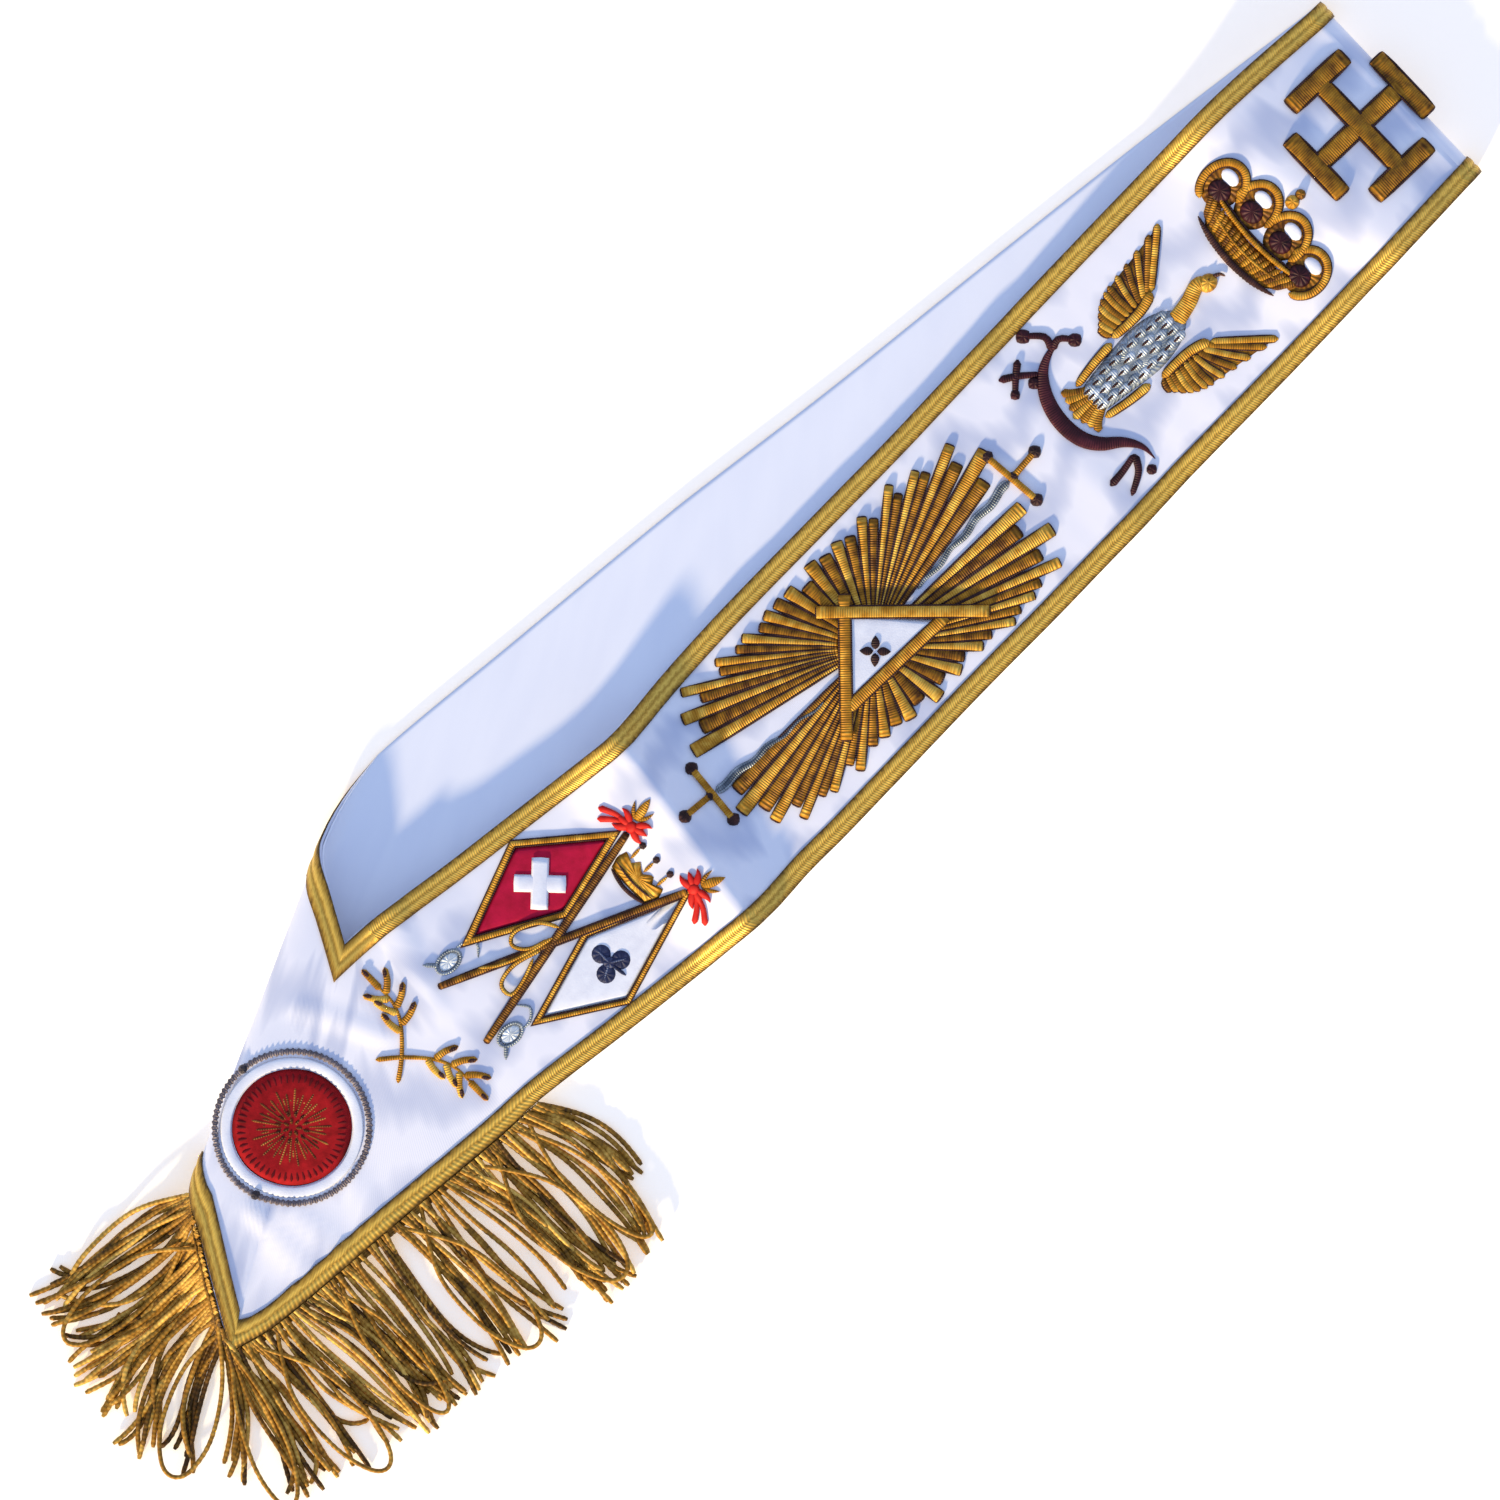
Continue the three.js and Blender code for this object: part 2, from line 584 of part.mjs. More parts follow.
const HEAD_START = UPPER_STEPS - 1;
const HEAD_END = HIP_FOLD + ROLL_STEPS / 2 - 1;

function headPoint(i, reach, height) {
  const row = sheet[i];
  const outward = row[0].clone().sub(row[1]).normalize();
  return sheetPoint(i, 0, height).addScaledVector(outward, reach * slant(i, "outer"));
}

function fringeHead() {
  const rows = HEAD_END - HEAD_START;
  const block = new THREE.BoxGeometry(rows, 1, 1, rows, 1, 1);
  return solid(
    reshape(block, (vertex) =>
      headPoint(
        Math.round(vertex.x + rows / 2) + HEAD_START,
        vertex.y > 0 ? GAP : GAP + FRINGE_HEAD_WIDTH,
        vertex.z > 0 ? RIBBON_FACE : LINING_BACK,
      ),
    ),
  );
}

// A line inside the head, clear of the ribbon, that the locks hang from.
const headLine = new THREE.CurvePath();
for (let i = HEAD_START; i < HEAD_END; i += 1) {
  const middle = (k) => headPoint(k, GAP + FRINGE_HEAD_WIDTH * 0.7, 0);
  headLine.add(new THREE.LineCurve3(middle(i), middle(i + 1)));
}

function lock({ from, points, length, bend }) {
  const start = headLine.getPointAt(from);
  const reach = length * FRINGE_LENGTH;
  const angle = THREE.MathUtils.degToRad(points);
  const way = new THREE.Vector3(Math.cos(angle), Math.sin(angle), 0);
  const aside = new THREE.Vector3(-way.y, way.x, 0);
  const strand = new THREE.BoxGeometry(1, 1, 1, LOCK_STEPS, 1, 1);
  return solid(
    reshape(strand, (vertex) => {
      const share = vertex.x + 0.5;
      const fall = (1 - Math.min(1, 2 * share)) ** 2;
      const sway = bend * reach * Math.sin(Math.PI * share);
      const width = LOCK_WIDTH * (0.45 + 0.75 * share) * (share === 1 ? 0.7 : 1);
      const middle = THREE.MathUtils.lerp(LOCK_THICKNESS / 2, start.z, fall);
      return start
        .clone()
        .addScaledVector(way, share * reach)
        .addScaledVector(aside, sway + vertex.y * width)
        .setZ(middle + vertex.z * LOCK_THICKNESS);
    }),
  );
}

const floorCut = solid(
  new THREE.BoxGeometry(3 * STRAP_REACH, 3 * STRAP_REACH, HIP_LEVEL).translate(0, 0, -HIP_LEVEL / 2),
);
addPiece("fringe", joined([fringeHead(), ...LOCKS.map(lock)]).subtract(floorCut), "bronze");

// Rosette

const rosette = emblem("rosette", 1);
const collarRadius = ROSETTE_RADIUS + GAP + COLLAR_WIDTH;
const cordRadius = collarRadius + CORD_SPACING;
const KNOT_ANGLES = [86, 198];
const ROSETTE_SIDES = 18;
const discShape = rosette.set(polygon(ROSETTE_SIDES, ROSETTE_RADIUS));
const collarShape = rosette.set(ringShape(ROSETTE_SIDES, collarRadius, ROSETTE_RADIUS + GAP));
stitch("rosette_disc", [discShape], "darkRed", { relief: PADDED_RELIEF });
stitch("rosette_collar", [collarShape], "white", { finish: MATTE });
const cordKnots = KNOT_ANGLES.map((degrees) => {
  const [spot] = arc(0, 0, cordRadius + CORD_WIDTH / 2, cordRadius + CORD_WIDTH / 2, degrees, degrees, 1);
  return rosette.set(polygon(6, CORD_KNOT_RADIUS), spot.x, spot.y);
});
stitch(
  "rosette_cord",
  [rosette.set(ringShape(ROSETTE_SIDES, cordRadius + CORD_WIDTH, cordRadius)), ...cordKnots],
  "brown",
  { under: [collarShape] },
);

// Leaf sprigs, crossed near their stems

const sprigs = emblem("sprigs", SPRIG_LENGTH);
const LEAVES = [
  { share: 0.4, side: -1 },
  { share: 0.5, side: 1 },
  { share: 0.61, side: -1 },
  { share: 0.72, side: 1 },
  { share: 0.84, side: -1 },
  { share: 0.96, side: 1 },
];

function sprig(direction) {
  const stem = new THREE.QuadraticBezierCurve(
    sprigs.at(-0.2, -0.08 * direction),
    sprigs.at(0.06, 0.08 * direction),
    sprigs.at(0.04, 0.45 * direction),
  );
  const leaves = LEAVES.map(({ share, side }) => {
    const foot = stem.getPointAt(share);
    const heading = stem.getTangentAt(share).angle() + side * direction * 0.75;
    const reach = LEAF_LENGTH / 2;
    const leaf = polygon(4, LEAF_LENGTH / 2, LEAF_WIDTH / 2);
    const degrees = THREE.MathUtils.radToDeg(heading);
    return moved(leaf, foot.x + reach * Math.cos(heading), foot.y + reach * Math.sin(heading), degrees);
  });
  return [strip(stem.getPoints(8), () => SPRIG_STEM_WIDTH), ...leaves];
}

stitch("sprigs", [...sprig(1), ...sprig(-1)], "bronze");

// Crossed banners on their poles

const trophy = emblem("trophy", TROPHY_LENGTH);
const POLE_UPPER = { butt: trophy.at(-0.483, -0.103), tip: trophy.at(0.36, 0.083) };
const POLE_LOWER = { butt: trophy.at(-0.466, 0.145), tip: trophy.at(0.37, -0.202) };
const poleShapes = [POLE_UPPER, POLE_LOWER].map(({ butt, tip }) => bar(butt, tip, POLE_WIDTH));
stitch("poles", poleShapes, "bronze", { relief: PADDED_RELIEF });

function finialAndBow(label, { butt, tip }, tailSide) {
  const way = tip.clone().sub(butt).normalize();
  const degrees = THREE.MathUtils.radToDeg(way.angle());
  const bowCentre = tip.clone().addScaledVector(way, GAP + BOW_SPAN * 0.22);
  const half = BOW_SPAN / 2;
  const loops = outline([
    point(-half * 0.4, -half),
    point(half * 0.1, -half * 0.2),
    point(half * 0.4, -half),
    point(half * 0.44, 0),
    point(half * 0.4, half),
    point(half * 0.1, half * 0.2),
    point(-half * 0.4, half),
    point(-half * 0.44, 0),
  ]);
  const tail = bar(ORIGIN, point(-half * 0.3, tailSide * BOW_SPAN * 0.85), half * 0.3, half * 0.5);
  const bow = [loops, tail].map((shape) => moved(shape, bowCentre.x, bowCentre.y, degrees));
  stitch(`bow_${label}`, bow, "red", { relief: PADDED_RELIEF });
  const start = bowCentre.clone().addScaledVector(way, BOW_SPAN * 0.22 + GAP);
  const spear = outline([
    point(0, -POLE_WIDTH / 2),
    point(FINIAL_LENGTH * 0.3, -POLE_WIDTH / 2),
    point(FINIAL_LENGTH * 0.5, -POLE_WIDTH),
    point(FINIAL_LENGTH, 0),
    point(FINIAL_LENGTH * 0.5, POLE_WIDTH),
    point(FINIAL_LENGTH * 0.3, POLE_WIDTH / 2),
    point(0, POLE_WIDTH / 2),
  ]);
  stitch(`finial_${label}`, [moved(spear, start.x, start.y, degrees)], "bronze", {
    relief: PADDED_RELIEF,
    under: bow,
  });
  return bow;
}
const bowUpper = finialAndBow("upper", POLE_UPPER, 1);
const bowLower = finialAndBow("lower", POLE_LOWER, -1);

// Each banner: its four corners, from the pole's end round by the free corner
function banner(name, corners, colour, charge) {
  const points = corners.map(([x, y]) => trophy.at(x, y));
  const centre = points.reduce((sum, p) => sum.add(p), point(0, 0)).divideScalar(points.length);
  const inset = (distance) =>
    points.map((p, k) => {
      const toward = (q) => q.clone().sub(p).normalize();
      const [back, ahead] = [points.at(k - 1), points[(k + 1) % points.length]].map(toward);
      const half = Math.sin(back.angleTo(ahead) / 2);
      return p.clone().addScaledVector(back.add(ahead).normalize(), distance / half);
    });
  const border = outline(points);
  border.holes = [new THREE.Path(inset(BANNER_BORDER_WIDTH))];
  const under = [...poleShapes, ...bowUpper, ...bowLower];
  stitch(`${name}_border`, [border], "paleGold", { relief: FLAT_RELIEF, under });
  stitch(name, [outline(inset(BANNER_BORDER_WIDTH + GAP))], colour, { under, finish: MATTE });
  charge(centre);
}

const ON_BANNER = { base: STITCH_BASE + FLAT_RELIEF + GAP };
banner(
  "banner_red",
  [
    [-0.293, 0.19],
    [0.017, 0.028],
    [0.328, 0.11],
    [0.052, 0.328],
  ],
  "red",
  (centre) => {
    const half = BANNER_CROSS_SPAN / 2;
    const upright = bar(point(-half, 0), point(half, 0), BANNER_CROSS_ARM);
    const arm = (degrees) => moved(upright, centre.x, centre.y, degrees);
    stitch("banner_red_cross", [arm(45), arm(-45)], "white", { ...ON_BANNER, finish: MATTE });
  },
);
banner(
  "banner_white",
  [
    [-0.31, -0.172],
    [-0.034, -0.338],
    [0.37, -0.207],
    [0.017, -0.069],
  ],
  "white",
  (centre) => {
    const lobes = [0, 1, 2].map((k) => {
      const angle = Math.PI / 2 + (k * 2 * Math.PI) / 3;
      const spot = centre.clone().add(point(TREFOIL_SPAN * 0.27, 0).rotateAround(ORIGIN, angle));
      return moved(polygon(8, TREFOIL_SPAN * 0.24), spot.x, spot.y);
    });
    const heart = moved(polygon(8, TREFOIL_SPAN * 0.2), centre.x, centre.y);
    stitch("banner_white_trefoil", [heart, ...lobes], "navy", ON_BANNER);
  },
);

// A tasselled cord's loop beside each butt
function tassel(label, x, y, side) {
  const radius = TASSEL_LENGTH / 4;
  const end = bar(point(radius * 0.8, 0), point(radius * 2.2, side * radius * 0.8), radius * 0.3, radius);
  const shapes = [
    trophy.set(ringShape(10, radius, radius * 0.62), x, y),
    trophy.set(end, x, y),
  ];
  stitch(`tassel_${label}`, shapes, "silver", { under: poleShapes });
}
tassel("upper", -0.43, 0.225, 1);
tassel("lower", -0.42, -0.185, -1);

// A small closed crown between the poles' ends
const smallCrown = [
  strip(arc(0, 0, BANNER_CROWN_WIDTH * 0.62, BANNER_CROWN_WIDTH * 0.5, -90, 90, 8), () => BANNER_CROWN_BAR),
  bar(point(0, -BANNER_CROWN_WIDTH / 2), point(0, BANNER_CROWN_WIDTH / 2), BANNER_CROWN_BAR * 1.7),
  bar(ORIGIN, point(BANNER_CROWN_WIDTH * 0.62, 0), BANNER_CROWN_BAR),
  moved(polygon(6, BANNER_CROWN_BAR), BANNER_CROWN_WIDTH * 0.68, 0),
];
stitch("banner_crown", smallCrown.map((shape) => trophy.set(shape, 0.235, -0.052)), "bronze", {
  under: [...poleShapes, ...bowUpper, ...bowLower],
});

// Rays of glory round the triangle, with a sword's hilt at each end

const glory = emblem("glory", GLORY_LENGTH);

function sword(label, x, y, degrees) {
  const hilt = [
    bar(point(0, -SWORD_GUARD_LENGTH / 2), point(0, SWORD_GUARD_LENGTH / 2), SWORD_GUARD_WIDTH),
    bar(ORIGIN, point(SWORD_GRIP_LENGTH, 0), SWORD_GUARD_WIDTH),
    ...[
      [0, -SWORD_GUARD_LENGTH / 2],
      [0, SWORD_GUARD_LENGTH / 2],
      [SWORD_GRIP_LENGTH, 0],
    ].map(([kx, ky]) => moved(polygon(8, SWORD_KNOB_RADIUS), kx, ky)),
  ].map((shape) => glory.set(shape, x, y, degrees));
  const root = point(-SWORD_GUARD_WIDTH / 2 - GAP, 0);
  const edges = bar(root, point(-SWORD_BLADE_LENGTH, 0), SWORD_BLADE_WIDTH, SWORD_BLADE_WIDTH / 2);
  const blade = [glory.set(edges, x, y, degrees)];
  stitch(`sword_${label}_hilt`, hilt, "brown", { relief: PADDED_RELIEF });
  stitch(`sword_${label}_blade`, blade, "silver", { relief: PADDED_RELIEF });
  return [...hilt, ...blade];
}
const swords = [...sword("right", 0.505, 0.035, 6), ...sword("left", -0.506, -0.018, 176)];

// A ray's tip reaches a rounded oblong, and the valley beside it falls short of that.
function glorySide(angle, share) {
  const [x, y] = [Math.cos(angle), Math.sin(angle)];
  const corner = 3.5;
  const reach =
    (Math.abs((2 * x) / GLORY_LENGTH) ** corner + Math.abs((2 * y) / GLORY_WIDTH) ** corner) ** (-1 / corner);
  return point(x * reach * share, y * reach * share);
}
const RAY_VALLEY = 0.66;
const rayPoints = [];
for (let k = 0; k < RAY_COUNT; k += 1) {
  const eccentric = (share) => {
    const turn = (2 * Math.PI * (k + share)) / RAY_COUNT;
    return Math.atan2(Math.sin(turn) * GLORY_WIDTH, Math.cos(turn) * GLORY_LENGTH * 0.62);
  };
  rayPoints.push(glorySide(eccentric(0), k % 2 ? 0.93 : 1), glorySide(eccentric(0.5), RAY_VALLEY));
}
stitch("glory", [glory.set(outline(rayPoints))], "bronze", { relief: PADDED_RELIEF, under: swords });

// An upright triangle whose sides stand off the centre by a share of its size
function triangle(width, height) {
  return outline([point(-width / 2, -height / 2), point(width / 2, -height / 2), point(0, height / 2)]);
}
const onGlory = STITCH_BASE + PADDED_RELIEF + GAP;
const slope = Math.atan2(TRIANGLE_HEIGHT, TRIANGLE_WIDTH / 2);
const shrinkWidth = (2 * TRIANGLE_FRAME_WIDTH) / Math.tan(slope / 2);
const shrinkHeight = (shrinkWidth / 2) * Math.tan(slope);
const dip = TRIANGLE_FRAME_WIDTH - shrinkHeight / 2;
const innerTriangle = moved(triangle(TRIANGLE_WIDTH - shrinkWidth, TRIANGLE_HEIGHT - shrinkHeight), 0, dip);
const frame = triangle(TRIANGLE_WIDTH, TRIANGLE_HEIGHT);
frame.holes = [new THREE.Path(innerTriangle.getPoints())];
const inField = 1 - (2 * GAP) / (TRIANGLE_HEIGHT - shrinkHeight) - 0.04;
const field = moved(
  triangle((TRIANGLE_WIDTH - shrinkWidth) * inField, (TRIANGLE_HEIGHT - shrinkHeight) * inField),
  0,
  dip - (TRIANGLE_HEIGHT - shrinkHeight) * (1 - inField) * 0.17,
);
stitch("triangle_frame", [glory.set(frame)], "bronze", { base: onGlory, relief: FLAT_RELIEF });
stitch("triangle_field", [glory.set(field)], "white", {
  base: onGlory,
  relief: FLAT_RELIEF / 2,
  finish: MATTE,
});
const petals = [45, 135, 225, 315].map((degrees) => {
  const [spot] = arc(0, dip, TRIANGLE_FLOWER_SPAN / 4, TRIANGLE_FLOWER_SPAN / 4, degrees, degrees, 1);
  return glory.set(moved(polygon(6, TRIANGLE_FLOWER_SPAN / 4.4), spot.x, spot.y));
});
stitch("triangle_flower", petals, "brown", { base: onGlory + FLAT_RELIEF / 2 + GAP, relief: FLAT_RELIEF });

// A bird with spread wings over a scroll

const bird = emblem("bird", BIRD_LENGTH);
const BEAK_TIP = point(BEAK_LENGTH, -BEAK_LENGTH * 0.22);
const birdBody = [
  bird.set(polygon(8, BIRD_LENGTH * 0.2, BIRD_SPAN * 0.13), 0.02, 0),
  bird.set(bar(ORIGIN, point(BIRD_LENGTH * 0.2, 0), BIRD_HEAD_WIDTH * 0.75, BIRD_HEAD_WIDTH / 2), 0.18, 0),
  bird.set(polygon(8, BIRD_HEAD_WIDTH / 2), 0.4, 0.01),
  bird.set(bar(ORIGIN, BEAK_TIP, BEAK_LENGTH / 2, BEAK_LENGTH * 0.1), 0.43, 0.01),
];
const tailOutline = [
  [0, -0.2],
  [0, 0.2],
  [-0.87, 0.5],
  [-1, 0.2],
  [-1, -0.2],
  [-0.87, -0.5],
];
const birdTail = [
  bird.set(outline(tailOutline.map(([x, y]) => point(x * TAIL_LENGTH, y * TAIL_WIDTH))), -0.14, 0),
];
// A share of the span across the bird, as a share of its length
const spanned = (share) => (share * BIRD_SPAN) / BIRD_LENGTH;
function wing(side) {
  const feathers = [];
  for (let k = 0; k < FEATHER_COUNT; k += 1) {
    const share = k / (FEATHER_COUNT - 1);
    const foot = bird.at(0.1 * share, side * spanned(0.2 + 0.15 * share));
    const tip = bird.at(-0.12 + 0.46 * share, side * spanned(0.46 + 0.04 * Math.sin(Math.PI * share)));
    feathers.push(bar(foot, tip, FEATHER_WIDTH, FEATHER_WIDTH * 0.67));
  }
  const shoulder = new THREE.QuadraticBezierCurve(
    bird.at(-0.03, side * spanned(0.154)),
    bird.at(0.16, side * spanned(0.185)),
    bird.at(0.34, side * spanned(0.46)),
  );
  return [strip(shoulder.getPoints(6), (share) => FEATHER_WIDTH * (1.5 - 0.67 * share)), ...feathers];
}
stitch("bird_body", birdBody, "silver", { relief: PADDED_RELIEF });
stitch("bird_tail", birdTail, "bronze", { under: birdBody });
stitch("bird_wing_upper", wing(1), "bronze", { under: [...birdBody, ...birdTail] });
stitch("bird_wing_lower", wing(-1), "bronze", { under: [...birdBody, ...birdTail] });
const scrollLine = arc(-0.22, -0.02, 0.23, spanned(0.31), 95, 265, 10).map((p) => bird.at(p.x, p.y));
const scrollShape = strip(scrollLine, (share) => SCROLL_WIDTH * (0.35 + Math.sin(Math.PI * share)));
stitch("scroll", [scrollShape], "maroon", { under: [...birdTail, ...wing(1), ...wing(-1)] });

// Closed crown, its band towards the bird

const crown = emblem("crown", CROWN_LENGTH);
const bandLine = arc(CROWN_LENGTH * 0.12, 0, CROWN_LENGTH * 0.3, CROWN_WIDTH * 0.56, 118, 242, 8);
const bandShape = crown.set(strip(bandLine, () => CROWN_BAND_WIDTH), -0.12, 0);
const gemShapes = [-0.37, -0.13, 0.13, 0.37].map((share, k) => {
  const inward = k === 0 || k === 3 ? 0.02 : 0.1;
  const gem = polygon(8, CROWN_LENGTH * 0.12, CROWN_WIDTH * 0.07);
  return crown.set(gem, inward, (share * CROWN_WIDTH) / CROWN_LENGTH);
});
const archShapes = [
  strip(arc(0, 0, CROWN_LENGTH * 0.36, CROWN_WIDTH * 0.44, -95, 95, 8), () => CROWN_ARCH_WIDTH),
  strip(arc(0, 0, CROWN_LENGTH * 0.34, CROWN_WIDTH * 0.2, -90, 90, 6), () => CROWN_ARCH_WIDTH * 0.9),
  bar(point(-CROWN_LENGTH * 0.2, 0), point(CROWN_LENGTH * 0.42, 0), CROWN_ARCH_WIDTH * 0.9),
  moved(polygon(8, CROWN_ARCH_WIDTH), CROWN_LENGTH * 0.46, 0),
].map((shape) => crown.set(shape, 0.02, 0));
stitch("crown_band", [bandShape], "brown", { relief: PADDED_RELIEF, under: gemShapes });
gemShapes.forEach((shape, k) => stitch(`crown_gem_${k + 1}`, [shape], "maroon", { relief: PADDED_RELIEF }));
stitch("crown_arches", archShapes, "bronze", { under: [bandShape, ...gemShapes] });

// Cross whose four arms end in bars

const cross = emblem("cross", CROSS_SPAN);
const crossShapes = [0, 90].flatMap((degrees) => {
  const half = CROSS_SPAN / 2;
  const along = bar(point(-half, 0), point(half, 0), CROSS_ARM);
  const ends = [-1, 1].map((side) =>
    bar(
      point(side * (half - CROSS_ARM / 2), -CROSS_BAR_LENGTH / 2),
      point(side * (half - CROSS_ARM / 2), CROSS_BAR_LENGTH / 2),
      CROSS_ARM,
    ),
  );
  return [along, ...ends].map((shape) => cross.set(shape, 0, 0, degrees));
});
stitch("cross_potent", crossShapes, "bronze", { relief: PADDED_RELIEF });

// The origin is under the middle of the whole sash, on the table.
const whole = new THREE.Box3().setFromObject(root, true);
const middle = whole.getCenter(new THREE.Vector3());
root.position.set(-middle.x, -middle.y, -whole.min.z);

export default root;
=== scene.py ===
"""The look of a sash of an order: silk, gold braid, fringe and embroidery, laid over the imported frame."""

import logging
import math
import random
from bisect import bisect_left
from dataclasses import dataclass
from enum import Enum
from typing import Callable, Iterable, Sequence

import bmesh
import bpy
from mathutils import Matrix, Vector, noise
from mathutils.bvhtree import BVHTree


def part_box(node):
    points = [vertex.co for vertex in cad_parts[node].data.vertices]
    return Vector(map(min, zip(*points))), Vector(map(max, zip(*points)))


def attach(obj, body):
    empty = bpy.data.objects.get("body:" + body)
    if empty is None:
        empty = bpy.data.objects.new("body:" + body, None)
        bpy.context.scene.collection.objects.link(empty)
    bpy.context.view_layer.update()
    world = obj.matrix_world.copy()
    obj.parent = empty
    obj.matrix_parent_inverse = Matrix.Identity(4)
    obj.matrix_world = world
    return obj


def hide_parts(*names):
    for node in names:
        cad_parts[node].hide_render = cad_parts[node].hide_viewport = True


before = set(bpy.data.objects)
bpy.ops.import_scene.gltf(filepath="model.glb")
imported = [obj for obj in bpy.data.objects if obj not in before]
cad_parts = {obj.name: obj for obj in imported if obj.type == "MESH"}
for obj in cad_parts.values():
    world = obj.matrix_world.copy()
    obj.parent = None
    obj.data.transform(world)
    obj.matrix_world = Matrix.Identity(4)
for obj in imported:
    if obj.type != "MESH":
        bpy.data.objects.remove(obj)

logging.basicConfig(level=logging.INFO, format="%(message)s")
log = logging.getLogger("sash")

MILLIMETRE = 0.001


@dataclass(frozen=True)
class BandSizes:
    """Sizes of the band in millimetres, the same as in the part's source."""

    reach: float = 787.0
    width: float = 110.0
    ribbon: float = 1.2
    lining: float = 1.0
    braid_width: float = 9.5
    braid: float = 1.0
    hip_roll: float = 8.5
    shoulder_roll: float = 6.0
    crowning: float = 1.5
    drift_above: float = 18.0
    drift_below_inner: float = 44.0
    drift_below_outer: float = 5.0
    gap: float = 0.3

    @property
    def lining_back(self) -> float:
        return -(self.gap / 2 + self.lining)

    @property
    def ribbon_face(self) -> float:
        return self.gap / 2 + self.ribbon

    @property
    def braid_back(self) -> float:
        return self.ribbon_face + self.gap

    @property
    def braid_face(self) -> float:
        return self.braid_back + self.braid

    @property
    def resting_level(self) -> float:
        return self.gap - self.lining_back

    @property
    def contact_level(self) -> float:
        return self.braid_face - 2 * self.lining_back + self.gap

    @property
    def hip_level(self) -> float:
        return self.braid_face + 2 * self.hip_roll

    @property
    def shoulder_level(self) -> float:
        return self.braid_face + 2 * self.shoulder_roll

    @property
    def shoulder_axis(self) -> float:
        return self.reach - self.shoulder_roll - self.braid_face


BAND = BandSizes()


@dataclass(frozen=True)
class Run:
    """One row of a run of the band: shares of the reach and of the width, and the lifts of both edges."""

    along: float
    lower: float
    upper: float
    lift_lower: float = 0.0
    lift_upper: float = 0.0
    crown: float = 0.0


# The upper run has its corner about 12 mm nearer to the photograph's place than the solids have.
UPPER_RUN = (
    Run(0.0, -0.03, 0.833, -0.3, 0.9, 0),
    Run(0.03, -0.08, 0.833, -0.3, 0.9, 0),
    Run(0.116, -0.115, 0.833, -0.3, 0.9, 0),
    Run(0.2, -0.152, 0.865, -0.3, 0.93, 0.3),
    Run(0.233, -0.158, 0.86, -0.3, 0.84, 0.6),
    Run(0.291, -0.2, 0.812, -0.25, 0.6, 1),
    Run(0.349, -0.237, 0.771, -0.1, 0.54, 1),
    Run(0.376, -0.25, 0.751, 0.4, 0.7, 1),
    Run(0.39, -0.257, 0.741, 0.62, 0.94, 1),
    Run(0.407, -0.258, 0.732, 0.34, 1.14, 1),
    Run(0.42, -0.252, 0.741, 0.06, 0.82, 1),
    Run(0.437, -0.243, 0.756, -0.05, 0.3, 1),
    Run(0.466, -0.238, 0.777, 0.0, 0.1, 1),
    Run(0.51, -0.223, 0.798, 0.02, 0.1, 1),
    Run(0.582, -0.198, 0.818, 0.02, 0.1, 1),
    Run(0.64, -0.185, 0.833, 0.02, 0.1, 1),
    Run(0.69, -0.169, 0.853, 0.1, 0.18, 0.9),
    Run(0.713, -0.162, 0.862, 0.16, 0.28, 0.8),
    Run(0.735, -0.152, 0.87, 0.08, 0.2, 0.9),
    Run(0.757, -0.142, 0.879, 0.14, 0.26, 1),
    Run(0.844, -0.117, 0.908, 0.55, 0.65, 1),
    Run(0.915, -0.089, 0.928, 1.2, 1.3, 0.7),
    Run(1.0, -0.056, 0.912, 1, 1, 0),
)

LOWER_RUN = (
    Run(0.063, 0.53, 1.371),
    Run(0.291, 0.379, 1.371),
    Run(0.407, 0.318, 1.308),
    Run(0.524, 0.25, 1.238),
    Run(0.64, 0.166, 1.152),
    Run(0.757, 0.092, 1.083),
    Run(0.873, 0.017, 1.008),
    Run(1.0, -0.056, 0.912),
)

HIP_POINT = (0.0, -0.03)
HIP_CORNER = (0.213, 0.868)
FOLD_OUTER = (0.0545, 0.604)
FOLD_INNER = (0.245, 1.262)
UPPER_END = 0.229


def lerp(a: float, b: float, share: float) -> float:
    return a + (b - a) * share


def clamp(value: float, low: float = 0.0, high: float = 1.0) -> float:
    return max(low, min(high, value))


def smooth(value: float) -> float:
    """A share from 0 to 1 with soft ends."""
    t = clamp(value)
    return t * t * (3 - 2 * t)


def read(rows: Sequence[Run], column: str, along: float) -> float:
    """A column's value at a place along the run, on a smooth curve through its rows."""
    last = len(rows) - 1
    i = 0
    while i < last - 1 and along > rows[i + 1].along:
        i += 1
    a, b = rows[i], rows[i + 1]

    def slope(k: int) -> float:
        """The curve's slope at a row."""
        p, q = rows[max(k - 1, 0)], rows[min(k + 1, last)]
        return (getattr(q, column) - getattr(p, column)) / (q.along - p.along)

    span = b.along - a.along
    t = clamp((along - a.along) / span)
    t2, t3 = t * t, t * t * t
    return (
        getattr(a, column) * (2 * t3 - 3 * t2 + 1)
        + getattr(b, column) * (3 * t2 - 2 * t3)
        + span * (slope(i) * (t3 - 2 * t2 + t) + slope(i + 1) * (t3 - t2))
    )


def plan(along: float, side: float, height: float = 0.0) -> Vector:
    """A point from shares of the reach and width, in millimetres."""
    return Vector((along * BAND.reach, side * BAND.width, height))


def lift_level(lift: float, along: float) -> float:
    """A lift's height over the table."""
    room = lerp(BAND.hip_level, BAND.shoulder_level, along) - BAND.contact_level
    below = BAND.contact_level - BAND.resting_level
    return BAND.contact_level + lift * (room if lift > 0 else below)


